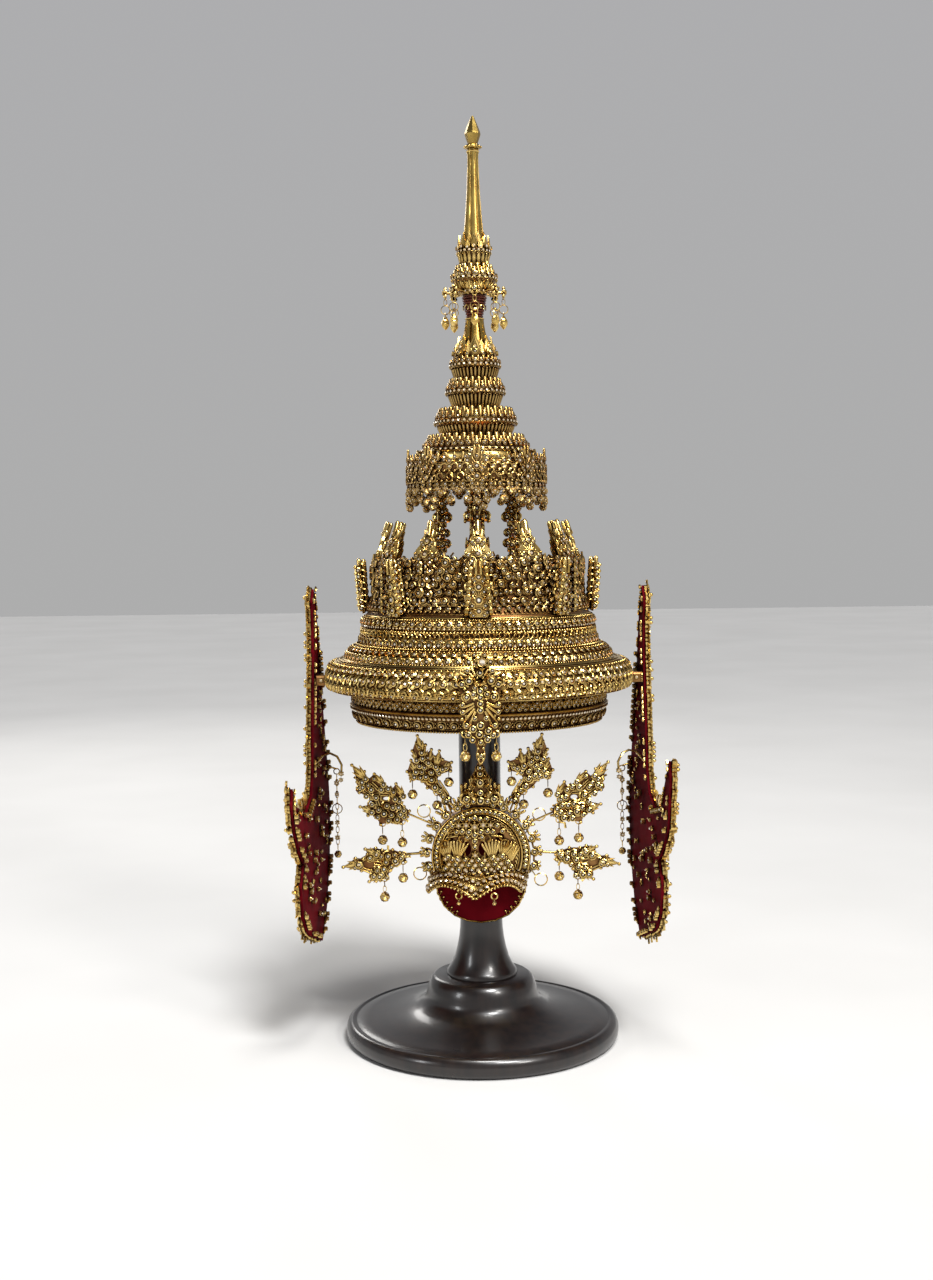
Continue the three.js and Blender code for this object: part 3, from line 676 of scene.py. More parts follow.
# ---------------------------------------------------------------- stand
STAND_BASE = [
    (0, 0), (101, 0), (103.6, 0.9), (105.2, 3.2), (105.6, 6.4), (105.4, 9.6), (104.2, 12.6), (102, 14.4),
    (99.6, 14.9), (98.6, 14.2), (97.4, 14.3), (96, 15.1), (88, 15.8), (78, 17), (68, 18.8), (60, 20.8),
    (54, 22.8), (51, 24.4), (48.6, 26.4), (46, 28.4), (44, 30.8), (43, 34), (42.4, 37), (41.6, 40.4),
    (40.2, 43.6), (38.4, 46.4), (36, 48), (0, 48),
]
STAND_POST = [
    (0, 48.3), (27.4, 48.3), (27.6, 50.2), (26, 52.6), (23.6, 56.2), (21, 61.8), (18.9, 69.5), (17.4, 77),
    (16.5, 85), (16.1, 97), (16, 110), (16, 313.7), (0, 313.7),
]
STAND_CAP = [
    (0, 314), (30, 314), (35, 315.6), (37.6, 318), (38.2, 321), (37.6, 324), (35.5, 326.7), (0, 326.7),
]
for name, profile in (("stand_base", STAND_BASE), ("stand_post", STAND_POST), ("stand_cap", STAND_CAP)):
    assemble(f"{name}_turning", [turned(name, profile, 112, WOOD, 50)], [], name)


# ---------------------------------------------------------------- crown
WALL = 2
ROUND = 144             # steps round a shell of the crown
DECK_TOP = 329
CORONET_TOP = 369
CORONET_FOOT = (85.2, 329.3)        # radius and height of the three bends in the coronet's wall
CORONET_KNEE = (79.8, 341)
CORONET_SHOULDER = (78.6, 350)
FLAMES, PANELS = 12, 8


def shell_profile(outer):
    """The outer profile and its inner twin, as one closed loop."""
    inner = []
    for i, (r, z) in enumerate(outer):
        before, after = outer[max(i - 1, 0)], outer[min(i + 1, len(outer) - 1)]
        run = Vector((after[0] - before[0], after[1] - before[1])).normalized()
        inner.append((r - run.y * WALL, z + run.x * WALL))
    return [*outer, *reversed(inner), outer[0]]


def crown_shell(name, outer, material):
    """A thin turned wall, from radii and heights of its outer face."""
    return turned(name, shell_profile(outer), ROUND, material, 40)


def wall_rings(name, *table):
    """Plain wires round the crown, each with its radius, height and thickness."""
    return [wire_ring(name, radius, height, thickness, 120) for radius, height, thickness in table]


def wave_ring(name, radius, height, swing, count, thickness, start=0):
    """A wire that runs round the crown in waves."""
    points = []
    for i in range(count * 5 + 1):
        angle = TAU * i / (count * 5)
        wave = math.sin(count * angle + start)
        points.append((radius * math.sin(angle), -radius * math.cos(angle), height + swing * wave))
    return wire(name, points, thickness, 0, closed=True)


def head_band():
    """The band round the head: flowers on its cone and small settings on its upright part."""
    motifs = 65
    wall = crown_shell("band_wall", [
        (92.8, 247.6), (93.4, 249.6), (94.4, 252), (95.6, 255.4), (96.8, 257.4), (98, 259.2),
        (98.2, 261.2), (96.2, 262.6), (96.2, 269), (97.2, 269.4), (97.2, 270.4)], RECESS_SHADE_GILT)
    rings = wall_rings("band_wire", (93.9, 249.9, 0.8), (96, 256, 0.6), (98.5, 260.3, 1.2),
                       (97.3, 270, 1.3))
    places = rows(
        (PEARL, 280, 93.2, 248.2, -0.35, 1.05), (SETTING, motifs, 94.9, 253, -0.32, 2.5),
        (CRESCENT, motifs, 94.8, 253, -0.32, (3.2, 1.6, 2.9), 2.6), (STONE6, 190, 97.4, 258.2, -0.5, 1.3),
        (SETTING, motifs, 96.4, 264.4, 0, 1.75), (SETTING, motifs, 96.4, 266.2, 0, 1.65, 0, 0.24),
        (SETTING, motifs, 96.4, 267.8, 0, 1.35, 0, 0.45),
        (CURL[-1], motifs, 96.6, 266.2, 0, (2.4, 2, 2), -0.5, 0.12),
        (SETTING, motifs, 96.4, 263.9, 0, 1.4, 0, 0.5),
        (CURL[1], motifs, 96.5, 265.4, 0, (2.1, 1.8, 2.1), 0.8, 0.60),
        (PEARL, 2 * motifs, 96.5, 268.9, 0, 0.8, 0, 0.25),
        (SETTING, motifs, 96.4, 266.8, 0, 1.3, 0, 0.74))
    places += knots(motifs, 94.9, 253.2, -0.32, 0.95, 1.35, 0.5)
    assemble("head_band_work", [wall, *rings], places, "head_band", coats={GILT: SHADED_GILT})


def flared_brim():
    """The brim that swells out over the band, with two waves of wire between its rows."""
    motifs = 78
    wall = crown_shell("brim_wall", [
        (98.8, 270.9), (108.6, 271), (111.6, 271.8), (113.8, 273.2), (115.6, 275.4), (116.2, 278),
        (116, 281.6), (115, 286.2), (113.2, 290.2), (111, 292.6), (108.6, 293.9), (106.4, 294.5),
        (101.5, 294.9)], LIT_GILT)
    rings = wall_rings("brim_wire", (113.2, 272.4, 1), (109.2, 294, 0.9), (106.4, 295, 1.3),
                       (103.2, 295.3, 1.3))
    rings.append(wave_ring("brim_wave", 116, 280.4, 0.8, motifs, 1.3))
    rings.append(wave_ring("brim_wave", 114.9, 287.2, 0.8, motifs, 0.9, 1.6))
    places = rows(
        (SETTING, motifs, 114.6, 275.4, -0.4, 2.3),
        (CURL[1], motifs, 115.4, 276.6, -0.2, (3.6, 3.2, 3.1), 0.25),
        (CURL[1], motifs, 115.8, 278.8, 0, (2.2, 2.4, 1.5), 0.5, 0.42),
        (PEARL, motifs, 114.8, 274.6, -0.4, 1.1, 0, 0.5),
        (SETTING, motifs, 115.2, 283.8, 0.22, 2.5, 0, 0.25),
        (CURL[-1], motifs, 115.4, 283.9, 0.22, (3.5, 2.4, 3), 0.4, 0.25),
        (STONE4, motifs, 115.3, 284.6, 0.25, 1.7, TAU / 8, 0.75),
        (PEARL, 2 * motifs, 115.5, 281.6, 0.1, 0.95), (SETTING, motifs, 113.7, 289.8, 0.5, 2.1, 0, 0.75),
        (CURL[1], motifs, 113.6, 289.9, 0.5, (3.1, 2.2, 2.6), -0.6, 0.75),
        (STONE6, motifs, 113.9, 289.2, 0.5, 1.5, 0, 0.25), (PEARL, 2 * motifs, 111.6, 292.4, 0.8, 1.1),
        (PEARL, 300, 101.9, 295.6, 0.9, 1))
    assemble("flared_brim_work", [wall, *rings], places, "flared_brim", coats={RECESS_SHADE_GILT: SOFT_SHADE_GILT})


def crown_steps():
    """Two set steps over the brim, and the cone that runs up to the deck."""
    lower, upper = 84, 78       # motifs on each of the two steps
    wall = crown_shell("step_wall", [
        (98.2, 271), (98.2, 291.4), (99.2, 292.8), (100.4, 294.6), (100.6, 298.2), (99.4, 300.4),
        (96, 304.2), (94.6, 304.8), (90.2, 305.2), (89.2, 305.8), (89.4, 309), (89.4, 313.4), (87.4, 315),
        (87.4, 317.8), (88.2, 319), (88.5, 320.4), (85.5, 329)], LIT_GILT)
    # A dark sheet in the groove below the upper step: painted shade.
    hollow = turned("step_hollow", [(88.2, 314.6), (88, 316.2), (88.2, 318.2)], 96, RECESS_SHADE_GILT)
    rings = wall_rings("step_wire", (93.4, 305, 0.8), (89.9, 306.6, 1), (89.8, 314, 0.8),
                       (86.1, 328.4, 0.8), (88.9, 319.8, 0.9))
    places = rows(
        (PEARL, 270, 100.8, 295, 0, 1.1), (SETTING, lower, 100.2, 298.4, 0.25, 2.4),
        (CURL[1], lower, 100.3, 298.5, 0.25, (3.4, 2.2, 2.8), 0.2),
        (STONE6, lower, 100.6, 297.2, 0.1, 1.4, 0, 0.5), (PEARL, 250, 92.4, 306, 0.6, 1.2),
        (PEARL, 240, 90.4, 307.4, 0.3, 1.1), (PEARL, lower, 100.2, 299.8, 0.5, 1.1, 0, 0.5),
        (SETTING, lower, 97.6, 302.4, 0.85, 2.1, 0, 0.5),
        (LEAF[1], lower, 97.2, 301.8, 0.85, (0.5, 1.6, 0.36), 0.3), (PEARL, 2 * lower, 95.6, 304.4, 1, 1),
        (SETTING, upper, 89.5, 309.6, 0, 2.6), (CURL[-1], upper, 89.5, 309.8, 0, (3.4, 2.2, 3), -0.2),
        (STONE6, upper, 89.6, 308.4, 0, 1.5, 0, 0.5), (PEARL, upper, 89.6, 311.6, 0, 1.3, 0, 0.5),
        (CURL[1], upper, 88.2, 316.2, 0, (2.6, 3, 1.9), 0.9, 0.25),
        (PEARL, upper, 88.2, 317, 0, 1.1, 0, 0.7), (SETTING, upper, 87.6, 323.6, 0.33, 2.5),
        (CRESCENT, upper, 87.5, 323.6, 0.33, (3.3, 1.8, 3), 1.2), (PEARL, 248, 86.5, 327, 0.33, 1),
        (CURL[-1], upper, 88.6, 316, 0, (2.4, 2.6, 2), 0.4, 0.75), (STONE6, 2 * upper, 88.8, 321, 0.2, 1),
        (PEARL, 220, 88.6, 318.7, -0.5, 1.2), (SETTING, upper, 89.4, 312.6, 0, 1.5, 0, 0.25))
    places += knots(upper, 87.6, 323.6, 0.33, 0.95, 1.4, 0.5)
    assemble("crown_steps_work", [wall, hollow, *rings], places, "crown_steps",
             coats={RECESS_SHADE_GILT: DEEP_SHADE_GILT})


def crown_deck():
    """The hidden flat deck inside the steps."""
    deck = turned("deck_sheet", [
        (24, DECK_TOP - WALL), (82.8, DECK_TOP - WALL), (82.8, 328.4), (82.2, DECK_TOP), (25, DECK_TOP),
        (24, 328.2), (24, DECK_TOP - WALL)], 96, DEEP_SHADE_GILT, 30)
    rings = wall_rings("deck_wire", (26, DECK_TOP + 0.1, 1), (48, DECK_TOP + 0.1, 1),
                       (68, DECK_TOP + 0.1, 1))
    assemble("crown_deck_sheet", [deck, *rings], [], "crown_deck")


def coronet_radius(height):
    """The coronet's wall is a cone up to its knee, a steeper one up to its shoulder, and then upright."""
    low, high = CORONET_KNEE, CORONET_SHOULDER
    if height < CORONET_KNEE[1]:
        low, high = CORONET_FOOT, CORONET_KNEE
    share = max(high[1] - height, 0) / (high[1] - low[1])
    return high[0] + (low[0] - high[0]) * share


def coronet_wall():
    """Rows of ring settings in curls, each standing off by its own amount, and loose rings among them."""
    wall = crown_shell("coronet_sheet", [
        (85, 329.3), (83.2, 333.2), (81.4, 337.2), CORONET_KNEE, (79, 345.4), CORONET_SHOULDER,
        (78.6, 356), (78.6, 362), (78.6, 368.4)], RECESS_SHADE_GILT)
    rings = wall_rings("coronet_wire", (84.4, 331, 1), (79.4, 368, 1.2))
    at_foot, at_top = 72, 36
    places = rows((SETTING, at_foot, 82.7, 334.8, 0.43, 2.1),
                  (PEARL, 2 * at_foot, 83.8, 332.8, 0.4, 1, 0, 0.25),
                  (CURL[1], at_foot, 82.5, 335.4, 0.43, (2.9, 2, 2.9), 0.4, 0.5),
                  (SETTING, at_foot, 81.3, 338, 0.43, 1.8, 0, 0.5),
                  (FINGER, at_top, 78.6, 366, 0.3, (2.4, 2, 2.4), 0, 0.25),
                  (SETTING, at_top, 78.4, 370.4, 0.3, 1.7, 0, 0.75))
    for index, (height, count) in enumerate(((340.4, 62), (346.2, 62), (352, 60), (357.6, 58),
                                             (362.8, 56), (367.6, 52))):
        for i in range(count):
            angle = TAU * (i + 0.5 * (index % 2) + random.uniform(-0.16, 0.16)) / count
            z, size = height + random.uniform(-1, 1), random.uniform(1.7, 2.6)
            radius = coronet_radius(z) + random.uniform(-0.3, 1.7)
            lean = 0.36 if z < CORONET_KNEE[1] else 0.1
            hand = random.choice(SIDES)
            places.append((SETTING, seat(angle, radius, z, lean, size)))
            spin = random.uniform(0, TAU)
            places.append((CURL[hand], seat(angle, radius - 0.3, z, lean, 1.5 * size, spin)))
            between = angle + 0.5 * TAU / count
            places.append((PEARL, seat(between, coronet_radius(z + 1.8), z + 1.8, lean, 1.1)))
            small = random.uniform(1.2, 1.7)
            places.append((SETTING, seat(between, coronet_radius(z - 0.6) - 0.4, z - 0.6, lean, small)))
    loose_rings = 44
    for i in range(loose_rings):
        angle, height = TAU * (i + random.uniform(0.2, 0.8)) / loose_rings, random.uniform(337, 355)
        radius, lean = coronet_radius(height) + 2.6, random.uniform(-0.2, 0.5)
        places.append((RING, seat(angle, radius, height, lean, (2.8, 4.4, 2.8))))
    assemble("coronet_wall_work", [wall, *rings], places, "coronet_wall", coats={GILT: SHADED_GILT})


def loose(part, places):
    """A joined ornament that is still a master, not a piece."""
    return keep(join([part, *lay(places)]))


def stand_round(node, work, count, pattern, radius, height, lean):
    """Copies of one ornament, each a piece of its own, standing on a circle."""
    for i in range(count):
        parts = lay([(pattern, seat(TAU * i / count, radius, height, lean))])
        assemble(f"{work}_{i + 1:02d}", parts, [], node.format(i + 1))


def fan(x, y, z, wide, tall, count, spread):
    """Blunt bars that spread upwards from one foot."""
    places = []
    for i in range(count):
        turn = spread * (2 * i / (count - 1) - 1)
        size = (wide, 0.8 * wide, tall * (0.5 - 0.09 * abs(turn)))
        places.append((FINGER, spot(x + 1.1 * wide * turn, y, z, size, turn)))
    return places


def tier(z, half, size, bars=0):
    """A level of an ornament: a setting between curls, side settings and beads, and bars behind."""
    flat = (size, 0.6 * size, size)
    small = (0.62 * size, 0.5 * size, 0.62 * size)
    places = [(SETTING, spot(0, -1, z, flat))] + both(
        (CURL, 0.50 * half, -0.9, z - 0.3 * size, (0.9 * size, 0.6 * size, 0.9 * size), 0.3),
        (SETTING, 0.80 * half, -1, z - 0.4 * size, small),
        (SETTING, 0.52 * half, -0.9, z - 1.15 * size, small),
        (PEARL, half, -0.6, z + 0.3 * size, (0.42 * size, 0.4 * size, 0.42 * size)),
        (PEARL, 0.46 * half, -1.2, z + 0.8 * size, 0.34 * size))
    if bars:
        places += fan(0, -0.9, z + 0.6 * size, 0.62 * size, 2.4 * size, bars, 0.075 * half)
    return places


def mirrored(half):
    """A closed outline from its right half, drawn from the middle of the foot to the tip."""
    return [*half, *((-x, z) for x, z in reversed(half) if x)]


def coronet_ornaments():
    """Flames that stand on the coronet, and panels that stand before it at the edge of the deck."""
    flame = cut_sheet("flame_sheet", mirrored([
        (0, 0), (8, 0), (9.8, 3.2), (8.6, 8), (5.6, 12), (5.4, 16.4), (3.6, 19), (2.2, 22), (2, 28.6),
        (0, 30.4)]), 1.2, GILT, (0.5, 0))
    flame = loose(flame, [
        *tier(4.4, 8.8, 2.9, 5), *tier(14.4, 5.2, 2.5, 3), (STONE6, spot(0, -2, 20.4, 1.5)),
        *[(FINGER, spot(0, y, 18.6, (4, 3.4, 6))) for y in (-1.4, 1.6)],
        *both((FINGER, 2.6, 0.2, 17.6, (2.6, 4.4, 3.2), 0.12), (FINGER, 4, 1.6, 1, (3.6, 3.2, 7.4), 0.05),
              (FINGER, 6.8, 1.2, 1, (2.8, 2.8, 4.2), 0.10), (FINGER, 1.6, 2, 8, (2.8, 2.8, 6), 0))])
    panel = cut_sheet("panel_sheet", mirrored([
        (0, 0), (6, 0), (8.6, 5), (7.4, 9), (9.4, 13), (7.6, 18), (8.2, 22.6), (5.6, 26), (5.6, 30),
        (4, 33), (3.9, 40), (0, 41)]), 1.2, GILT, (0.5, 0))
    places = tier(4.4, 7.4, 2.7) + tier(12.2, 9, 3.4, 5) + tier(21.6, 7.4, 3) + tier(28.6, 5.4, 2.5)
    places += both((FINGER, 1.9, -1.5, 30.6, (3.4, 3.4, 5.6)), (FINGER, 1.9, 2, 27.4, (3.4, 3.8, 6.8)),
                   (FINGER, 4.6, 1.6, 14, (3.4, 3.2, 7.4)), (FINGER, 3.4, 1.4, 1, (3.4, 3, 8.4)),
                   (RING, 9, -1.2, 17.2, (2.8, 4.5, 2.8)), (RING, 8.6, -1.2, 27.6, (2.6, 4.5, 2.6)))
    for side in SIDES:
        places += hang(7.5 * side, -2, 24, 13, 2.9)
        for step in range(7):       # its edges are set too, as they show where the panel stands sideways
            edge, z, turn = side * (7.6 - 0.5 * step), 4 + 4.8 * step, side * TAU / 4
            places += [(SETTING, spot(edge, -2.4, z, 2.5, face=turn)),
                       (PEARL, spot(edge, -4.4, z + 2.4, 1.5, face=turn)),
                       (CURL[side], spot(edge, 0.8, z + 2.2, 2.8, 0.8, face=turn))]
    panel = loose(panel, places)
    stand_round("coronet_flame_{:02d}", "coronet_flame_work", FLAMES, flame, 76.4, CORONET_TOP + 0.6,
                0.33)
    stand_round("coronet_panel_{:02d}", "coronet_panel_work", PANELS, panel, 86, DECK_TOP + 0.6, -0.08)


# ---------------------------------------------------------------- spire
LEGS = 4
COLLAR_PANELS = 8
FRINGE_DROPS = 48
CANOPY_ARMS = 8
CANOPY_REACH = 22       # from the middle of the spire to the chains of the canopy


def spire_legs():
    """Struts that are set on their face, along both edges and on their back."""
    strut = cut_sheet("strut_sheet", mirrored([
        (0, 0), (4.5, 0), (4.5, 4), (3.2, 9), (3.2, 36), (7.6, 38), (7.9, 50), (4.4, 64), (3.2, 78),
        (3.2, 112), (4.5, 121), (0, 121)]), 1.6, THREAD, (0.7, 0))
    places = tier(41.6, 9, 3.6, 5) + tier(52.6, 7.6, 3.4, 3)
    places += [(SETTING, spot(0, -1.6, 66 + 6.2 * step, 2.4)) for step in range(9)]
    for step in range(8):
        places += both((PEARL, 2.4, -1.4, 69.1 + 6.2 * step, 1.3),
                       (CURL, 2.6, -1, 66.4 + 6.2 * step, 1.7, 0.4))
    places += both((CURL, 6.4, -2, 72.6, (3.9, 2.6, 3.9), 0.7), (SETTING, 6.4, -2, 72.2, 1.9),
                   (FINGER, 2.2, -2.4, 73, (2.6, 2, 3.4), 0.55),
                   (FINGER, 1.6, -2.6, 73.4, (2.4, 2, 4), 0.18), (PEARL, 9, -1.8, 69, 1.3))
    for step in range(11):
        z = 38 + 6.4 * step
        for side in SIDES:
            edge, turn = side * (6.8 if z < 54 else 3.2), side * TAU / 4
            places += [(SETTING, spot(edge, 0, z, 2.4, face=turn)),
                       (CURL[side], spot(edge, 0, z + 3.2, 2.9, 0.6, face=turn))]
        places.append((SETTING, spot(0, 1.2, z + 3, 2.2, face=math.pi)))
    for z, reach, size in ((72, 3.6, 4.2), (77, 2.4, 2.6), (84, 2.6, 3), (91, 2.2, 2.4), (60, 2.8, 3.4),
                           (52, 3.2, 3.6)):
        for side in SIDES:
            for depth in SIDES:
                edge, turn = side * (6.8 if z < 54 else 3.4), side * TAU / 4
                place = spot(edge, depth * reach, z, (size, 3, size), 0.5, face=turn)
                places += [(CURL[side * depth], place),
                           (SETTING, spot(edge, depth * reach, z, 0.6 * size, face=turn))]
    stand_round("spire_leg_{}", "spire_leg_work", LEGS, loose(strut, places), 26.4, DECK_TOP + 0.4, 0)


def spire_collar():
    """A domed collar with eight rosettes, on a short upright band."""
    body = crown_shell("collar_sheet", [
        (50.2, 437.7), (50.2, 439.4), (47, 440.8), (43.6, 441.9), (42.6, 443.2), (42.9, 446.4),
        (42.2, 449.6), (40.4, 451.6), (38.6, 452.8), (15, 452.8)], GILT)
    rings = wall_rings("collar_wire", (50, 439.6, 1.2), (44, 442, 0.9), (42.6, 450.2, 1),
                       (40.6, 452.4, 1))
    places = rows((SETTING, 48, 47.4, 441.6, 0.9, 1.9), (STONE6, 56, 42.2, 451.4, 0.6, 1.2))
    for k in range(COLLAR_PANELS):
        angle = TAU * k / COLLAR_PANELS
        places += [(ROSETTE, seat(angle, 43.2, 446.4, 0, 3.6)),
                   (SETTING, seat(angle, 43.6, 450.6, 0.2, 2))]
        for side in SIDES:
            for turn, z, size in ((0.13, 445.4, 2.4), (0.09, 449.4, 1.8), (0.20, 444.2, 1.8),
                                  (0.07, 443.2, 1.7)):
                places.append((SETTING, seat(angle + side * turn, 43.4, z, 0, size)))
    assemble("spire_collar_work", [body, *rings], places, "spire_collar")
    band = crown_shell("collar_band_sheet", [(50.2, 425), (50.2, 429), (50.2, 433), (50.2, 437.4)],
                       RECESS_SHADE_GILT)
    rings = wall_rings("collar_band_wire", (50.4, 425.6, 0.9), (50.4, 431, 0.9), (50.4, 436.8, 0.9))
    assemble("collar_band_work", [band, *rings], [], "collar_band")


def collar_fringe():
    """A band painted dark for shade, crowded with settings, eight crested panels, and drops that hang in
    scallops.
    """
    sheet = turned("fringe_sheet", [
        (51.2, 427.4), (51.7, 428.4), (51.7, 440.6), (51.2, 441.4), (50.8, 441.4), (50.8, 427.4),
        (51.2, 427.4)],
        96, RECESS_SHADE_GILT, 30)
    rings = wall_rings("fringe_wire", (52, 427.4, 0.9), (52, 434.2, 0.8), (52, 441, 1))
    crest = cut_sheet("fringe_crest", mirrored([
        (0, -3), (7.6, 0), (8.8, 6), (6.4, 11), (5.2, 16), (2.6, 19), (2.4, 23.6), (0, 24.4)]),
        0.9, GILT, (0.5, 0))
    crest = loose(crest, tier(2, 7.8, 2.6) + tier(9.4, 6.8, 2.7, 3) + both(
        (FINGER, 1.4, -0.8, 16.4, (2.6, 2, 4.2), 0.05)) + [(SETTING, spot(0, -0.9, 16.6, (2, 1.4, 2)))])
    places = row(crest, COLLAR_PANELS, 51.4, 428.6, 0.02)
    flat, flatter = (2.3, 1.3, 2.3), (1.7, 1.2, 1.7)
    places += rows((SETTING, 40, 51.6, 438, 0, flat, 0, 0.5),
                   (CURL[1], 40, 51.6, 437.8, 0, (3.1, 2, 3.1), 0.4),
                   (SETTING, 40, 51.6, 431.4, 0, flatter),
                   (CURL[-1], 40, 51.6, 431.2, 0, (2.8, 2, 2.8), -0.6, 0.5),
                   (PEARL, 80, 51.7, 434.8, 0, 1.2), (PEARL, 80, 52, 427.6, 0, 1.1, 0, 0.5),
                   (RING, 24, 53, 429.8, 0.1, (2.9, 4.4, 2.9), 0, 0.5),
                   (SETTING, 24, 51.6, 442.2, 0, flat, 0, 0.5), (SETTING, 40, 51.2, 445, 0.1, flatter),
                   (FINGER, 48, 50.8, 443.4, 0, (2.2, 1.8, 2.6), 0, 0.5),
                   (SETTING, 48, 51.8, 425.4, 0, flatter, 0, 0.5),
                   (FLOWER_BALL, 48, 51.6, 422, 0, 2.3, 0, 0.5))
    for k in range(FRINGE_DROPS):
        angle, drop = TAU * k / FRINGE_DROPS, random.uniform(-0.8, 0.8)
        low = 414.2 if k % 2 else 420
        places += [(LOOP, seat(angle, 52.2, z, 0, (1.5, 1.5, 2), 0)) for z in (426, 423.2, low + 4.2)]
        places.append((FLOWER_BALL, seat(angle, 51.2, low + drop, 0, 3.5)))
        if k % (FRINGE_DROPS // COLLAR_PANELS) == 0:
            places += hang_round(angle, 51.2, 417, 8, 3.6)
            places.append((FLOWER_BALL, seat(TAU * (k + 0.7) / FRINGE_DROPS, 51, 408.8, 0, 3.3)))
    assemble("collar_fringe_work", [sheet, *rings], places, "collar_fringe", coats={GILT: SHADED_GILT})


def petal_ring(count, radius, height, tall, wide, lean, phase=0):
    """Upright blunt petals with a second row of shorter ones before them and a stone at each foot."""
    return rows((FINGER, count, radius - 0.6, height, lean, (wide, 0.6 * wide, tall / 2), 0, phase + 0.5),
                (FINGER, count, radius + 0.3, height - 0.6, lean, (wide * 0.9, 0.6 * wide, tall * 0.36),
                 0, phase),
                (SETTING, count, radius + 1, height + 1, lean, (1.7, 1.4, 1.7), 0, phase))


def cup(node, body, rib, count, rim, bars, petals):
    """A spire cup: a bowl with fine ribs, a set rim with claws, and petals standing on it."""
    bowl = turned(f"{node}_sheet", body, 72, DEEP_SHADE_GILT, 35)
    ribs = turned(f"{node}_ribs", [(r - 1.1, z) for r, z in rib], count * 2, DEEP_SHADE_GILT, 20)
    grooved(ribs, count, 0.94)
    radius, height, stones = rim
    wires = [wire_ring(f"{node}_wire", radius - 0.3, height + dz, 0.9, 64) for dz in (-1.5, 1.5)]
    places = rows((FINGER, *bars), (STONE6, stones, radius - 0.4, height, 0, 1.35),
                  (CRESCENT, stones, radius + 0.3, height - 1.7, -0.5, (1, 1.2, 1.3), 2.2, 0.5))
    for args in petals:
        places += petal_ring(*args)
    assemble(f"{node}_work", [bowl, ribs, *wires], places, node, coats={GILT: SHADED_GILT})


def grooved(piece, lobes, depth):
    """Draws in the edges between lobes so that a turned body becomes a lobed one."""
    take(piece)
    edit("VERT")
    bpy.ops.mesh.select_all(action="DESELECT")
    mesh = bmesh.from_edit_mesh(piece.data)
    for corner in mesh.verts:
        share = (math.atan2(corner.co.x, -corner.co.y) / TAU * lobes) % 1
        corner.select_set(abs(share - 0.5) < 0.10 and math.hypot(corner.co.x, corner.co.y) > MM)
    bmesh.update_edit_mesh(piece.data)
    pinch(depth, depth, 1)
    put_down()
    return soften(piece, 40)


def spire_cups():
    """Three cups, each smaller than the one that carries it."""
    cup("tier_cup_lower", [
        (36.8, 453.1), (38.6, 453.1), (38.8, 454.4), (38.8, 456), (37, 457), (33, 456.6), (26, 458),
        (23.4, 460.2), (24.2, 463.4), (26, 467.2), (28.4, 470), (30.4, 471.4), (30.8, 473.2),
        (30.4, 474.8), (28.6, 475.4), (26.4, 475), (14, 475), (14, 473.2), (21, 473.2), (21, 458.6),
        (36.8, 453.1)],
        rib=[(24.6, 457.6), (25.2, 461), (26.2, 465), (28.4, 469), (30.8, 471.6)], count=56,
        rim=(30.9, 473.2, 44), bars=(56, 23.4, 457.8, -0.41, (2.3, 2.2, 7.2)),
        petals=[(36, 37, 456.2, 7.8, 4.4, 0.12), (46, 38.6, 454.6, 4.4, 3, 0.05),
                (28, 28.6, 475.6, 8.6, 4.4, 0.12)])
    cup("tier_cup_middle", [
        (21, 475.3), (23, 475.3), (23, 478), (19, 479.2), (16, 481), (15.1, 484), (16, 487.6),
        (18, 491.2), (20.4, 494), (21.9, 495), (22, 496.6), (20.6, 497.6), (18.2, 497), (9, 497),
        (9, 495.4), (13, 495.4), (13, 480.4), (21, 475.3)],
        rib=[(17.4, 479.8), (16.8, 483.6), (17.4, 487.6), (19.2, 491.2), (22, 494.6)], count=42,
        rim=(22, 496, 32), bars=(42, 15.5, 480.8, -0.36, (2, 2, 7.2)),
        petals=[(28, 22.6, 477.2, 6, 3.4, 0.1), (24, 20.2, 497.8, 8.6, 3.8, 0.12)])
    cup("tier_cup_upper", [
        (14.8, 497.3), (16.8, 497.3), (16.8, 499.6), (14.8, 501.2), (13.2, 503.4), (13.2, 506.8),
        (14.4, 510.2), (16.4, 513.2), (18.4, 514.6), (18.7, 516.2), (17.6, 517.4), (15.8, 517), (7, 517),
        (7, 515.6), (10.8, 515.6), (10.8, 502), (14.8, 497.3)],
        rib=[(15.4, 500.8), (14.9, 504), (15.2, 507.6), (16.8, 511.2), (18.8, 514.4)], count=36,
        rim=(18.7, 516, 28), bars=(36, 13.7, 501.4, -0.31, (2, 2, 6.6)),
        petals=[(24, 16.8, 498.8, 5.4, 3, 0.1), (24, 17.2, 517.4, 5, 3, 0.1)])


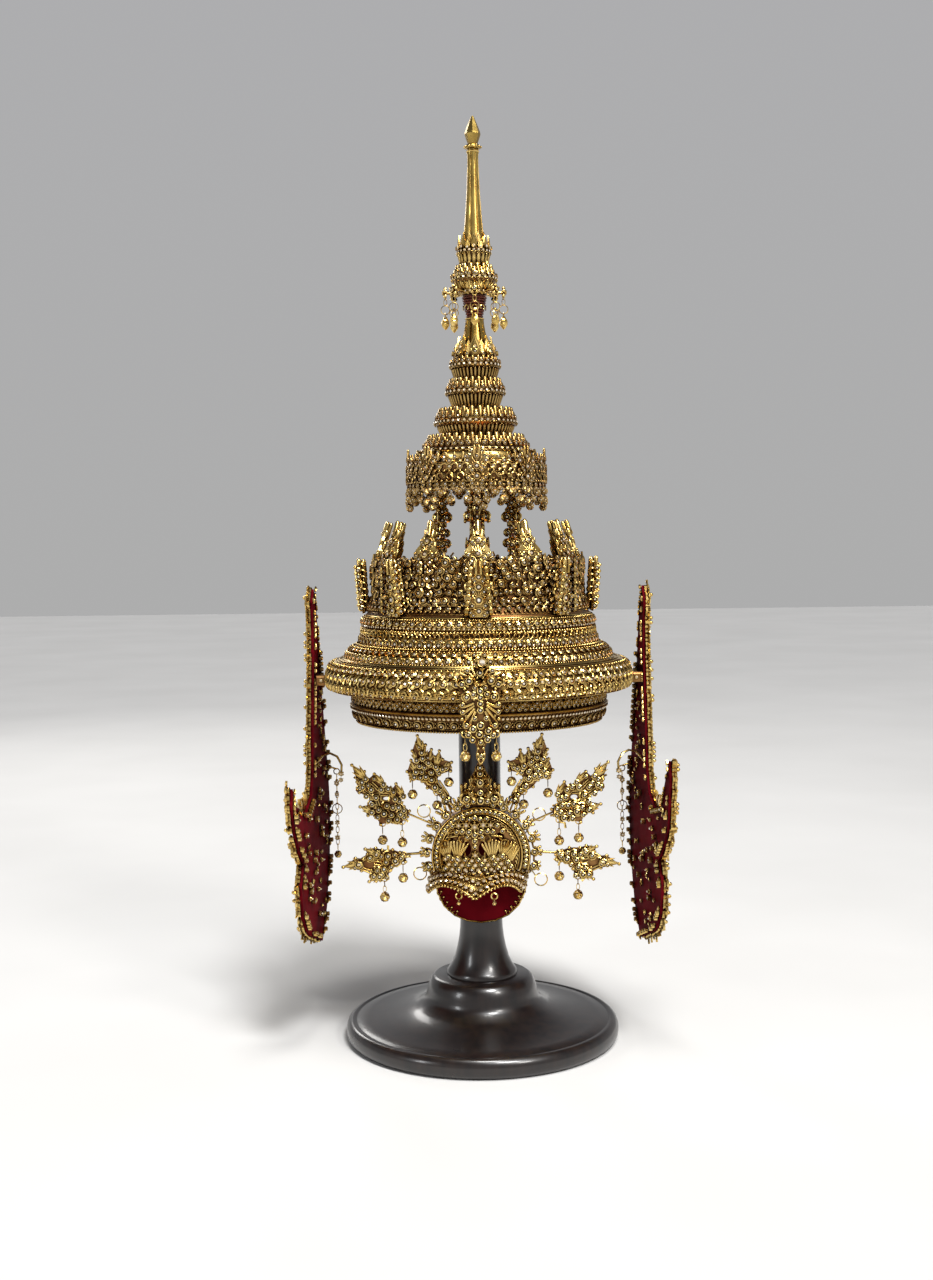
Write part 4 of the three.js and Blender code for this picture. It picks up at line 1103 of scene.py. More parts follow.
def lotus_bell():
    """A bell of eight lobes that rises out of petals."""
    body = turned("bell_sheet", [
        (13.4, 517.3), (15.2, 517.3), (15.4, 519.6), (14.8, 521.6), (13, 522.4), (12.4, 526), (11, 531),
        (9.5, 536), (8.2, 541), (7.3, 546), (6.8, 551), (6.4, 551.7), (4, 551.7), (4, 519.4),
        (13.4, 517.3)],
        80, SOFT_SHADE_GILT, 40)
    grooved(body, 8, 0.82)
    rings = [wire_ring("bell_wire", r, z, t, 48) for r, z,
             t in ((15.4, 518.4, 0.9), (15, 521.4, 0.8), (7, 551, 0.9))]
    places = rows(
        (STONE6, 26, 15.5, 519.9, 0, 1.2), (PETAL, 8, 13.9, 521.6, 0.16, (8.6, 3, 8.2)),
        (PETAL, 8, 14.8, 521.6, 0.14, (6, 3, 5.2)), (PETAL, 8, 13.2, 521.6, 0.14, (6, 2.8, 6.4), 0, 0.5),
        (SETTING, 8, 15.6, 524.8, 0.16, 2.1), (STONE6, 8, 14.7, 528.8, 0.16, 1.4),
        (SETTING, 8, 14.8, 523.4, 0.16, 1.6, 0, 0.5))
    assemble("lotus_bell_work", [body, *rings], places, "lotus_bell")


def canopy():
    """The wound neck, and a ring of arms with a drop on each."""
    ridges = [(0, 552)]
    for step in range(8):
        z, r = 552.2 + 1.96 * step, 5.8 + 0.42 * step
        ridges += [(r + 0.5, z), (r + 0.8, z + 0.6), (r + 0.5, z + 1.1), (r - 0.3, z + 1.5)]
    neck = turned("neck_winding", [*ridges, (8.6, 568.2), (0, 568.2)], 48, THREAD, 40)
    assemble("canopy_neck_winding", [neck], rows((CRESCENT, 8, 8, 559, 0, 2, 1.57)), "canopy_neck")

    hub = turned("hub_sheet", [
        (0, 568.5), (9.6, 568.5), (11.6, 569.2), (12.9, 570.4), (11.8, 571.6), (10.4, 572.2), (0, 572.2)],
        64, SOFT_SHADE_GILT, 40)
    grooved(hub, 16, 0.93)
    parts, places = [hub], row(STONE6, 24, 12.9, 570.4, 0, 1.1)
    for k in range(CANOPY_ARMS):
        angle = TAU * k / CANOPY_ARMS
        sine, cosine = math.sin(angle), -math.cos(angle)
        parts.append(wire("canopy_arm", [(r * sine, r * cosine, z) for r, z in (
            (10, 570), (13, 570.8), (16.5, 571), (20, 570.6), (21.6, 570.4))], 2.8))
        places.append((SETTING, seat(angle, 22.6, 570.6, 0, 1.8)))
        for petal in range(5):
            turn = TAU * petal / 5
            ball = spot(1.9 * math.sin(turn), 0.2, 1.9 * math.cos(turn))
            places.append((PEARL, seat(angle, 21.6, 570.6, 0, 1.55) @ ball))
        x, y = CANOPY_REACH * sine, CANOPY_REACH * cosine
        places += [(LOOP, spot(x, y, 567.2, (1.7, 2.2, 1.9), face=angle)),
                   (LOOP, spot(x, y, 563.6, (1.3, 1.8, 2.6)))]
        places.append((RING, spot(x, y, 557.9, (3.4, 5, 3.4))))
        places += hang_round(angle, CANOPY_REACH, 555.4, 12.6, 3.2, BUD)
        places.append((COMMA, seat(angle + 0.5 * TAU / CANOPY_ARMS, 12.8, 570.6, 0.2, 1.6, 0.4)))
    assemble("canopy_ring_work", parts, places, "canopy_ring")


def upper_tiers():
    """Two tiers in petals, the fluted shaft and the bud at its tip."""
    lower = turned("lower_tier_sheet", [
        (0, 572.5), (10, 572.5), (11.2, 574.2), (13.6, 577), (15.8, 578.6), (16.4, 580), (16.2, 582),
        (14.8, 582.8), (12.6, 582.4), (0, 582.2)], 64, RECESS_SHADE_GILT, 35)
    places = rows(
        (PETAL, 24, 11, 572.6, -0.5, (2.8, 2.6, 4.2)),
        (PETAL, 24, 12, 572.4, -0.35, (2.6, 2.8, 2.8), 0, 0.5), (STONE6, 26, 16.4, 580.6, 0, 1.3),
        (CRESCENT, 26, 17, 578.9, -0.5, (1, 1.1, 1.2), 2.2, 0.5))
    places += petal_ring(16, 14.4, 582.2, 9, 4.2, 0.10) + petal_ring(20, 15.6, 581.4, 5, 3, 0.05, 0.25)
    assemble("spire_tier_lower_work", [lower], places, "spire_tier_lower")

    upper = turned("upper_tier_sheet", [
        (0, 582.5), (9, 582.5), (8.2, 587.6), (9, 591.6), (10.4, 596), (11.8, 600), (12, 601.6),
        (11.4, 602.8), (9.6, 602.4), (0, 602.4)], 56, RECESS_SHADE_GILT, 35)
    places = rows(
        (PETAL, 18, 9.4, 584.6, -0.08, (3.4, 2.8, 5)),
        (PETAL, 18, 10.6, 583.6, -0.08, (3.2, 2.8, 3.4), 0, 0.5), (STONE6, 18, 11.8, 585, 0, 1.2, 0, 0.5),
        (PETAL, 20, 9.6, 592, -0.24, (2.6, 2.6, 4.6)), (STONE6, 22, 12, 600.8, 0, 1.2),
        (CRESCENT, 20, 12.6, 599, -0.5, (1, 1.1, 1.2), 2.2, 0.5),
        (PETAL, 8, 11.2, 602.2, 0.10, (5.2, 3, 5.6)),
        (PETAL, 8, 11.9, 601.8, 0.08, (4.2, 3, 3.4), 0, 0.5), (STONE6, 8, 12.6, 603.6, 0.08, 1.5),
        (STONE6, 8, 12.4, 602.8, 0.08, 1.2, 0, 0.5))
    assemble("spire_tier_upper_work", [upper], places, "spire_tier_upper")

    shaft = turned("shaft_sheet", [
        (0, 602.7), (8.4, 602.7), (8.2, 606), (7.6, 613), (6.7, 622), (5.9, 632), (5.1, 643), (4.6, 654),
        (4.2, 665), (4.1, 672), (4.4, 674), (4.4, 676.6), (0, 676.6)], 80, SOFT_SHADE_GILT, 40)
    grooved(shaft, 8, 0.88)
    ring = wire_ring("shaft_wire", 4.5, 675.2, 1.1, 32)
    places = row(PETAL, 8, 8.4, 603.4, 0.06, (4.4, 2.2, 6), 0, 0.5)
    assemble("spire_shaft_work", [shaft, ring], places, "spire_shaft")

    bud = turned("finial_sheet", [
        (0, 676.9), (4.6, 676.9), (5.9, 677.6), (6.2, 678.6), (5.4, 679.8), (4, 680.8), (0, 681.2)],
        48, SOFT_SHADE_GILT, 40)
    point = turned("finial_point", [
        (3.6, 680.6), (4, 682), (5.3, 685.6), (6, 688.2), (5.7, 689.8), (3.2, 696.2), (0.9, 701.4),
        (0, 702)],
        8, SOFT_SHADE_GILT, 20)
    assemble("finial_bud_turning", [bud, point], row(PEARL, 14, 6, 678.6, 0, 0.7), "finial_bud")


# ---------------------------------------------------------------- nape
DISC_HEIGHT = 147.5     # middle of the nape disc
FIELD_HEIGHT = 148.4    # middle of the field inside its rim
DISC_BACK = -20.3       # depth of the disc's back edge
DISC_REACH = 1.86       # how far the rim runs down on each side, in radians
MOTIF_ASIDE = -4.6      # how far the motif sits from the middle
HOOD_REACH = 36         # radius of the hood at its lip, which widens by HOOD_FLARE up to its top
HOOD_FLARE = 1.2
HOOD_LIP = 119.5
HOOD_TOP = 135.7
HOOD_DEPTH = 15.8 / 37.2    # how deep the hood's top is, as a share of its radius
HOOD_WAVE = 8.5         # how far the lip swings up and down


def on_disc(angle, radius, centre=DISC_HEIGHT):
    """Across and height of a point of the disc; angles run from its top towards the right."""
    return radius * math.sin(angle), centre + radius * math.cos(angle)


def arc(radius, y, start, end, count, centre=DISC_HEIGHT):
    """Points of an arc in an upright plane."""
    points = []
    for i in range(count + 1):
        x, z = on_disc(start + (end - start) * i / count, radius, centre)
        points.append((x, y, z))
    return points


def set_at(piece, move):
    """Moves a finished sheet to its place, with the place in its mesh."""
    take(piece)
    piece.matrix_world = move @ piece.matrix_world
    return settle()


def drill(piece, holes):
    """Cuts round holes of x, z, half width and half height through a sheet."""
    for x, z, wide, tall in holes:
        let_go()
        bpy.ops.mesh.primitive_cylinder_add(vertices=14, radius=MM, depth=60 * MM,
                                            rotation=(TAU / 4, 0, 0), location=(x * MM, -30 * MM, z * MM))
        cutter = bpy.context.object
        cutter.scale = (wide, tall, 1)
        take(piece)
        cut = piece.modifiers.new("hole", "BOOLEAN")
        cut.operation, cut.object = "DIFFERENCE", cutter
        bpy.ops.object.modifier_apply(modifier=cut.name)
        bpy.data.objects.remove(cutter)
    return piece


def nape_plate():
    """A lacquered plate behind the disc, with a wire along its edge and a clip round the post."""
    outline = [(x, z) for x, _, z in arc(36, 0, -TAU / 4, TAU / 4, 30)]
    outline += mirrored([(35.4, 130), (33.2, 116), (28.4, 106), (20.4, 98.6), (10.6, 94.4), (0, 93)])
    sheet = set_at(cut_sheet("plate_sheet", outline, 2, LACQUER, (0.8, 0.3)), spot(0, -18, 0))
    edge = [(x, -20.2, z) for x, z in outline[31:43]]
    rim = wire("plate_rim", edge, 1.5)
    clip = turned("plate_clip",
                  [(16.3, 142.5), (18.3, 142.5), (18.3, 152.5), (16.3, 152.5), (16.3, 142.5)], 48,
                  LACQUER)
    places = []
    for x, z in ((33.6, 121), (32.4, 116), (30.6, 111.6), (28, 107.6), (24.6, 103.6), (20.4, 100.4)):
        places += both((CRESCENT, x, -20.4, z, 1.5, 0.9), (PEARL, x - 2, -20.4, z + 1.4, 0.9))
    assemble("nape_plate_work", [sheet, rim, clip], places, "nape_plate")


def disc_motif():
    """Rosettes, settings and curls in the middle of the field, with four fans and four level rows."""
    motif = [(ROSETTE, spot(0, -36.4, 170.2, 4.4)), (SETTING, spot(0, -36.4, 176.6, 2.2)),
             (SETTING, spot(0, -36.6, 163.8, 2.4)), (SETTING, spot(0, -36.4, 159, 2.2)),
             (SETTING, spot(0, -36.4, 154.6, 1.9)), (ROSETTE, spot(0, -36.6, 148.6, 3.2))]
    motif += both(
        (ROSETTE, 6.4, -36.4, 171.4, 3.8), (ROSETTE, 12, -36.2, 171.2, 3.2),
        (SETTING, 4, -36.2, 175.4, 2.1), (SETTING, 9, -36, 175.8, 2), (SETTING, 4.4, -36.6, 166, 2.4),
        (SETTING, 9.4, -36.2, 166.4, 2.2), (SETTING, 13.6, -36, 166, 2),
        (FINGER, 12.6, -36, 163.2, (2, 2, 4.4), 1.75), (FINGER, 2.6, -36.4, 161.6, (2, 2, 3), 2.1),
        (SETTING, 16.8, -36, 170.6, 2), (CURL, 9.6, -36.2, 160.6, (2.8, 3, 2.8), 0.4),
        (SETTING, 5.6, -36.6, 162, 1.7), (SETTING, 20.8, -35.8, 166.4, 1.9),
        (CURL, 22.6, -35.8, 157, (3, 3.4, 3), 1.4))
    for x, z, turn, tall in ((13.4, 144.8, -0.12, 16), (20.4, 146.4, 0.28, 14)):
        for side in SIDES:
            motif += moved(fan(0, 0, 0, 2.1, tall, 6, 0.42), spot(side * x, -36.2, z, 1, side * turn))
            motif += [(SETTING, spot(side * x, -37, z + 1, 2.2)),
                      (CURL[side], spot(side * x, -36.6, z + 0.4, 3.2, 0.5))]
    for line, (z, count, size) in enumerate(((144.4, 10, 2.1), (140.8, 11, 2.4), (137.2, 12, 2.2),
                                             (133.8, 11, 2))):
        for i in range(count):
            x = (i - (count - 1) / 2) * 4.9
            motif.append((SETTING if (i + line) % 2 else ROSETTE,
                          spot(x, -36.4, z + 0.003 * x * x, size + 0.7 * ((i + line + 1) % 2))))
            motif.append((CURL[1 if x < 0 else -1], spot(x, -36.2, z, (3, 3, 3), 0.7 * i)))
    half_width = 28.5
    return [(kind, place) for kind, place in motif
            if abs(place.translation.x / MM + MOTIF_ASIDE) < half_width]


def disc_leaves():
    """Small fans of bars with a setting and a curl at their foot, all along the rim."""
    places = []
    for angle, tall in ((0.44, 1.15), (0.70, 1.25), (0.97, 1.1), (1.24, 1), (1.50, 0.9), (1.76, 0.8)):
        for side in SIDES:
            turn = angle * side
            x, z = on_disc(turn, 38.4)
            foot = spot(x, -34, z, 1, turn)
            places += moved([*fan(0, 0, 2.2, 2.4, 6.8 * tall, 3, 0.42),
                             (SETTING, spot(0, -1.4, 1.8, 2.4)),
                             (CURL[side], spot(0, -0.8, 1.8, (3.6, 3, 3.6), 0.4)),
                             (SETTING, spot(0, -1.2, 5.2, 1.5)),
                             *both((PEARL, 2.9, -0.6, 2.6, 1.3), (PEARL, 2.2, -0.6, 5, 1.1))], foot)
    return places


def nape_disc():
    """The rim, the pierced field with its motif, and the leaf fans that stand on the rim."""
    low = DISC_REACH
    outer = [(x, z) for x, _, z in arc(37.2, 0, -low, low, 44)]
    inner = [(x, z) for x, _, z in arc(35.4, 0, low, -low, 44)]
    rim = set_at(cut_sheet("disc_rim", outer + inner, 15.4, DEEP_SHADE_GILT, (0.4, 0)), spot(0, DISC_BACK, 0))
    field = set_at(cut_sheet("disc_field", inner, 1.2, DEEP_SHADE_GILT, (0.6, 0)), spot(0, -33.8, 0))
    drill(field, [(x * side + MOTIF_ASIDE, z, w, t) for side in SIDES for x, z, w, t in (
        (6.8, 152.6, 4.2, 5.6), (19, 161.6, 3.2, 3.4))])
    wires = [wire("disc_wire", arc(r, y, -a, a, 48, z), t) for r, y, z, a, t in (
        (36.6, -37, DISC_HEIGHT, low, 1.7), (30.9, -37, FIELD_HEIGHT, low + 0.10, 1.6),
        (28.9, -36.4, FIELD_HEIGHT, low + 0.12, 1))]
    places = []
    for i in range(35):
        angle = (i - 17) / 17 * (low - 0.06)
        x, z = on_disc(angle, 33.8)
        places += [(SETTING, spot(x, -35.4, z, (1.8, 2, 1.8))),
                   (CURL[1], spot(x, -35.2, z, (2.5, 2.2, 2.3), angle))]
    for i in range(34):
        angle = (i - 16.5) / 16.5 * low
        x, z = on_disc(angle, 26.4, FIELD_HEIGHT)
        places.append((FINGER, spot(x, -35, z, (2.3, 2.2, 2.4), angle + (1 if angle > 0 else -1))))
    places += moved(disc_motif(), spot(MOTIF_ASIDE, 0, 0))
    places += moved(fan(0, 0, 0, 2.1, 15, 6, 0.40), spot(22, -36, 144, 1, 0.16))
    places += disc_leaves()
    for x, z in ((-42.5, 181.5), (-46, 134), (44, 178), (45, 128.5)):
        places.append((RING, spot(x, -33, z, (4.9, 5.5, 4.9))))
    stalks = [wire("ring_stalk", [(x0, -30, z0), (x1, -33, z1)], 0.9) for x0, z0, x1, z1 in (
        (-33.4, 164.4, -38.6, 178.8), (-36.4, 140.4, -41.6, 135.4), (34, 163.4, 40.2, 175.4),
        (36.2, 138, 41.2, 131))]
    assemble("nape_disc_work", [rim, field, *wires, *stalks], places, "nape_disc")


def swell(angle):
    """The lip's wave: 0 at the hood's front, 1 on each side, 0 again towards its ends."""
    return math.sin(min(abs(angle) / 1.25, 1) * math.pi)


def hood_point(angle, rise):
    """The hood's outer face: an angle from its front and a share of its height, 0 at the lip."""
    radius, depth = HOOD_REACH + HOOD_FLARE * rise, 1 - (1 - HOOD_DEPTH) * rise
    aside = 5 * (1 - rise)
    height = (HOOD_LIP + HOOD_WAVE * swell(angle)) * (1 - rise) + HOOD_TOP * rise
    return Vector((radius * math.sin(angle) - aside, DISC_BACK - radius * depth * math.cos(angle),
                   height))


def on_hood(kind, angle, rise, size, spin=0, lift=0.2):
    """An ornament that stands square on the hood's outer face."""
    here = hood_point(angle, rise)
    across = (hood_point(angle + 0.01, rise) - here).normalized()
    up = (hood_point(angle, rise + 0.01) - here).normalized()
    out = across.cross(up).normalized()
    up = out.cross(across)
    turn = Matrix((across, -out, up)).transposed().to_4x4()
    return kind, Matrix.Translation((here + out * lift) * MM) @ turn @ posed(0, spin, size)


def skin(name, sections, material):
    """Closed sections drawn one by one and bridged into a skin with closed ends."""
    pieces = []
    for section in sections:
        piece = trace([*section, section[0]])
        bpy.ops.mesh.remove_doubles(threshold=0.002 * MM)
        if section in (sections[0], sections[-1]):
            bpy.ops.mesh.edge_face_add()
        pieces.append(put_down())
    piece = join(pieces)
    piece.name = name
    edit("EDGE")
    bpy.ops.mesh.bridge_edge_loops()
    clean()
    put_down()
    return soften(paint(piece, material), 40)


def band_rise(base, angle):
    """The hood's bands follow the wave of its lip, but less far."""
    return base + 0.10 * (swell(angle) - 0.5)


def nape_hood():
    """The wavy lip under the disc, with bands of stones between its wires."""
    sections = []
    for i in range(37):
        angle = (i - 18) / 18 * (TAU / 4 - 0.02)
        outer = [hood_point(angle, rise) for rise in (0, 0.25, 0.5, 0.75, 1)]
        inward = Vector((-math.sin(angle), math.cos(angle), 0)) * 1.8
        sections.append([tuple(p) for p in outer] + [tuple(p + inward) for p in reversed(outer)])
    wall = skin("hood_sheet", sections, LIT_GILT)
    wires, places = [], []
    for base, thick in ((0.03, 1.5), (0.36, 1.4), (0.42, 1), (0.74, 1.5)):
        points = [tuple(on_hood(None, a, min(max(band_rise(base, a), 0), 1), 1)[1].translation / MM)
                  for a in [(i - 24) / 24 * 1.5 for i in range(49)]]
        wires.append(wire("hood_wire", points, thick))
    for base, count, size in ((0.20, 27, 1.9), (0.57, 25, 1.9)):
        for i in range(count):
            angle = (i - (count - 1) / 2) / (count - 1) * 2.9
            places.append(on_hood(STONE8, angle, band_rise(base, angle), size))
            between = angle + 1.45 / (count - 1)
            for rise in (-0.09, 0.09):
                places.append(on_hood(PEARL, between, band_rise(base + rise, between), 1))
    for i in range(21):
        angle = (i - 10) / 10 * 1.42
        places.append(on_hood(SETTING if i % 2 else ROSETTE, angle, 0.88, 2.1 if i % 2 else 2.6))
    for i in range(40):
        angle = (i - 19.5) / 19.5 * 1.5
        places.append(on_hood(PEARL, angle, -0.03, 1.1, 0, -0.3))
    for x, y in ((-17, -50.6), (9.4, -52.6)):
        places += hang(x, y, 122.6, 9, 1.6)
    assemble("nape_hood_work", [wall, *wires], places, "nape_hood")


def nape_crest():
    """The flame on top of the disc."""
    outline = mirrored([(0, 185.3), (8, 184.3), (15.4, 182), (17, 188), (14.6, 195.4), (13.4, 202),
                        (9, 197.4), (6.6, 200.6), (7.2, 206.6), (3.6, 213.4), (0, 221.4)])
    sheet = set_at(cut_sheet("crest_sheet", outline, 1.4, DEEP_SHADE_GILT, (0.6, 0)), spot(0, -33.2, 0))
    places = [(SETTING, spot(0, -36.2, 203.2, (2.6, 2.4, 3))), (SETTING, spot(0, -36, 195.4, 2.3)),
              (SETTING, spot(0, -36, 189.6, 3)), (SETTING, spot(0, -35.6, 209.8, 2.4)),
              (SETTING, spot(0, -35.2, 214.2, 2)), (FINGER, spot(0, -34.8, 216, (1.8, 2, 2.8)))]
    places += moved(fan(0, 0, 0, 2, 12, 5, 0.55), spot(0, -35, 199))
    places += both(
        (CURL, 3.2, -35.2, 203, (3.8, 4, 4.4), 0.2), (CURL, 3, -35.4, 196.6, (3, 3.6, 3), 2.4),
        (SETTING, 10.4, -35.8, 190.8, 2.6), (CURL, 10.6, -35.2, 191, (5.2, 4, 5.2), 0.5),
        (CURL, 5, -35.2, 189.2, (3.6, 3.6, 3.6), 1.6), (SETTING, 5.2, -35.8, 189, 2),
        (SETTING, 15, -35.4, 187, 2.1), (CURL, 14.4, -35, 187.4, (3.6, 3.2, 3.6), 0.9),
        (FINGER, 13.4, -35, 192.4, (2.4, 2.2, 4.8), 0.10),
        (FINGER, 11.6, -35.2, 194.2, (2.4, 2.2, 4.6), -0.10),
        (FINGER, 9.4, -35.2, 194.6, (2.4, 2.2, 3.6), -0.30),
        (FINGER, 6.2, -35, 197.6, (2.2, 2.2, 4.4), 0.20),
        (FINGER, 4.6, -35.2, 200.6, (2.2, 2.2, 3.6), 0.30),
        (FINGER, 2.2, -35.4, 207.4, (2, 2.2, 3.8), -0.10), (SETTING, 7, -35.6, 194.4, 1.9),
        (PEARL, 8, -35.6, 198.4, 1.3), (PEARL, 16.4, -35, 191.4, 1.3), (SETTING, 13, -35.4, 190, 1.6),
        (PEARL, 1.8, -35.4, 213.6, 1.1), (CURL, 2.4, -35.2, 209.2, (2.6, 3.2, 2.6), 0.6),
        (CURL, 1.8, -35, 213.6, (2, 3, 2), 0.9), (FINGER, 5, -34.8, 203.4, (2, 2.2, 3.2), -0.25),
        (SETTING, 3, -35.4, 206.8, 1.8), (SETTING, 2.4, -35.2, 212, 1.5),
        (CURL, 7, -35, 192.2, (2.6, 3.4, 2.6), 2.2), (SETTING, 9.6, -35.6, 186, 1.8),
        (PEARL, 10.8, -35.4, 195.4, 1.4), (CURL, 11.8, -35, 196.4, (2.4, 3, 2.4), 0.3))
    assemble("nape_crest_work", [sheet], places, "nape_crest")


SPRAYS = {
    "upper": dict(
        y=-28, stem=[(21.6, 178.4), (27.4, 192.4)], drops=[(32.6, 196.5, 15.5), (51, 208, 18.5),
                                                           (23.6, 215, 16.5)],
        edge=[(25.4, 186.4), (34.4, 195.2), (39.8, 198.4), (43.6, 203.4), (52.2, 205.4), (54.8, 211),
              (51.8, 219.4), (47.6, 215.8), (46.6, 220), (50.8, 226.6), (46.8, 238), (40.8, 231),
              (40.4, 224.4), (36.4, 227.4), (34, 221.8), (30.4, 226.4), (28, 219.8), (21.4, 217.6),
              (22.2, 211), (30.6, 208.2), (32.6, 203.8), (28, 197.6), (22.6, 190.6)],
        sprigs=[(43.6, 225.4, 46.8, 238.6, 4.2), (47.6, 219.6, 51.2, 227.4, 2.6),
                (43, 221, 40.2, 231.6, 2.8), (48.2, 210.8, 52.2, 220, 3.2),
                (49.4, 206.8, 55.4, 211.2, 2.6), (38.6, 217.6, 36.2, 227.8, 2.6),
                (33.2, 214.6, 30.2, 226.8, 3), (28, 212.6, 21.2, 217.8, 3)],
        bars=[(44.4, 222.6, 37, 212.6), (41, 218, 33.4, 209.4), (37.6, 210.4, 40.6, 203.4),
              (31.6, 203.6, 24, 191.6)],
        rings=[(45.4, 215.2, 2.2), (41.8, 214, 2), (37.4, 216.2, 2.1), (36.6, 210.2, 2.2),
               (32.2, 212.6, 2.1), (25.4, 213.4, 1.9), (40.8, 207, 2.3), (44.8, 206.4, 2.1),
               (36.4, 204.8, 2.5), (34, 199, 2.6), (30.4, 196, 2), (28.2, 191.8, 2.1), (25.8, 188.2, 2.3),
               (39, 221.4, 1.8), (50.4, 208.6, 1.8), (30.8, 209.4, 2), (43.8, 210.6, 1.9),
               (45.8, 229.4, 1.7)]),
    "middle": dict(
        y=-28, stem=[(31.4, 168.4), (58.4, 180.4)], drops=[(74, 173.6, 18.6), (59.2, 174.8, 21.8)],
        edge=[(55, 176.6), (60, 171.6), (66.4, 172.6), (75.4, 171), (79.6, 177.6), (84.8, 178),
              (90.6, 184.6), (81.4, 186.4), (82.4, 190.6), (91, 195.4), (92.6, 203.6), (96.4, 216.4),
              (87, 211.4), (84.2, 205.4), (79.6, 209.4), (76.4, 203.4), (70.6, 199.6), (66.4, 197.6),
              (63.4, 201.8), (58.6, 195.4), (60.4, 189.4), (57.4, 184.2), (53.6, 181)],
        sprigs=[(86, 206, 97.2, 217.4, 4), (72.6, 201.6, 80, 210.4, 3.6), (57.8, 192.4, 63.8, 202.4, 3.4),
                (81.8, 180.6, 91.2, 185.2, 3.2), (88.4, 199.6, 93.6, 205.4, 2.4),
                (64, 190.4, 69.6, 199.4, 2.8)],
        bars=[(82, 203, 75.2, 196.4), (88.8, 197.8, 80.6, 191.6), (77.4, 194.4, 68.6, 193.8),
              (76.6, 185, 79, 192.8)],
        rings=[(88.8, 203.4, 2.2), (82, 197.8, 2.3), (90.4, 198.2, 2), (85.8, 192.8, 2.3),
               (78.4, 191.6, 2.2), (74.4, 197.8, 2.3), (70.4, 185.4, 2.3), (65.8, 184, 2.3),
               (61.6, 184, 2.2), (57.6, 181.4, 2.2), (72.6, 179.4, 2.5), (67, 178.4, 2.3),
               (60.2, 178.8, 2.4), (69.2, 174.2, 2.4), (62.8, 174.8, 2.4), (57.4, 176.4, 2),
               (76.6, 182.4, 2.2), (77.4, 176.8, 2), (81.6, 186.6, 2), (84.2, 201, 1.9), (60.8, 188.6, 2),
               (65.2, 195.6, 2), (69.2, 198, 2.1), (79.6, 206, 1.7)]),
    "lower": dict(
        y=-33, stem=[(37.7, 150), (63, 148.5)], drops=[(58.8, 145.4, 18.4), (72.8, 132.6, 20)],
        edge=[(60.6, 143), (66, 141.4), (69, 136.4), (70.4, 130.8), (76, 129.4), (84.4, 128.6),
              (80.6, 134.4), (82.6, 137.6), (90, 137), (103.8, 139.8), (94.4, 146.4), (88.6, 146),
              (85.4, 149.4), (87, 153.4), (79, 154), (74.4, 152.6), (66.4, 152.6), (61, 150.6),
              (56.2, 147.4), (56.8, 143.4)],
        sprigs=[(91, 142.2, 104.6, 140.4, 3.8), (78.6, 149.4, 87.4, 154.2, 3.4),
                (76.4, 132.6, 85.2, 128.4, 2.8), (90.4, 140.6, 96.4, 146.8, 2.4)],
        bars=[(89.4, 145.2, 82, 149.6), (89.6, 138.8, 80.4, 135), (82, 145.8, 71.8, 143.6),
              (80.6, 141, 70.4, 139)],
        rings=[(64.4, 144.4, 2.6), (71.4, 143.6, 2.3), (69.8, 148, 2.4), (77.8, 150.6, 2.4),
               (74.8, 134.2, 2.3), (70.8, 131.8, 2), (80.8, 132.6, 2.2), (92.2, 142, 2.8),
               (60.2, 146.4, 2.2), (74.8, 147.8, 2), (73, 138.2, 2.2), (67.4, 139.8, 2), (83.4, 146.8, 2),
               (64.8, 149, 2), (78, 137.2, 2), (94.8, 139.4, 1.8), (58.6, 148.4, 1.8)]),
}


def sprig(x, z, tip_x, tip_z, wide, y):
    """Three narrow petals that spread from a ring setting at their foot."""
    length, turn = math.hypot(tip_x - x, tip_z - z), math.atan2(tip_x - x, tip_z - z)
    petals = [(PETAL, spot(x, y, z, (wide * share, 4, length / 2 * share), turn + apart))
              for apart, share in ((0, 1), (-0.34, 0.72), (0.34, 0.72))]
    return [*petals, (SETTING, spot(x, y - 1.2, z, 2.3))]


def bar_pair(x, z, tip_x, tip_z, y):
    """Two blunt bars side by side."""
    run, rise = tip_x - x, tip_z - z
    length, turn = math.hypot(run, rise), math.atan2(run, rise)
    size = (1.7, 2.4, length / 2)
    return [(FINGER, spot(x + aside * rise / length, y, z - aside * run / length, size, turn))
            for aside in (-0.9, 0.9)]


def spray(side, name):
    """A leaf on its wire: sprigs round its edge, bars and ring settings on its middle, drops below."""
    part = SPRAYS[name]
    y, edge = part["y"], [(side * x, z) for x, z in part["edge"]]
    sheet = set_at(cut_sheet("spray_sheet", edge, 1.2, DEEP_SHADE_GILT, (0.4, 0)), spot(0, y, 0))
    if name == "middle":
        drill(sheet, [(side * 70.6, 190.2, 2.6, 1.8)])
    places = [(PEARL, spot(x, y - 0.7, z, 1.5)) for x, z in edge]
    for x, z, tip_x, tip_z, wide in part["sprigs"]:
        places += sprig(side * x, z, side * tip_x, tip_z, wide, y - 1)
    for x, z, tip_x, tip_z in part["bars"]:
        places += bar_pair(side * x, z, side * tip_x, tip_z, y - 1.4)
    places += [(SETTING, spot(side * x, y - 1.8, z, size)) for x, z, size in part["rings"]]
    places += [(CURL[side], spot(side * x, y - 1.2, z, (1.7 * size, 2.4, 1.7 * size), x + z))
               for x, z, size in part["rings"][::2]]
    stem = wire("spray_wire", [(side * x, y, z) for x, z in part["stem"]], 2 if name == "lower" else 1.5,
                sides=2)
    for x, z, fall in part["drops"]:
        places += hang(side * x, y - 0.6, z, fall, 4)
    node = f"nape_spray_{SIDE_WORD[side]}_{name}"
    assemble(f"{node}_work", [sheet, stem], places, node)


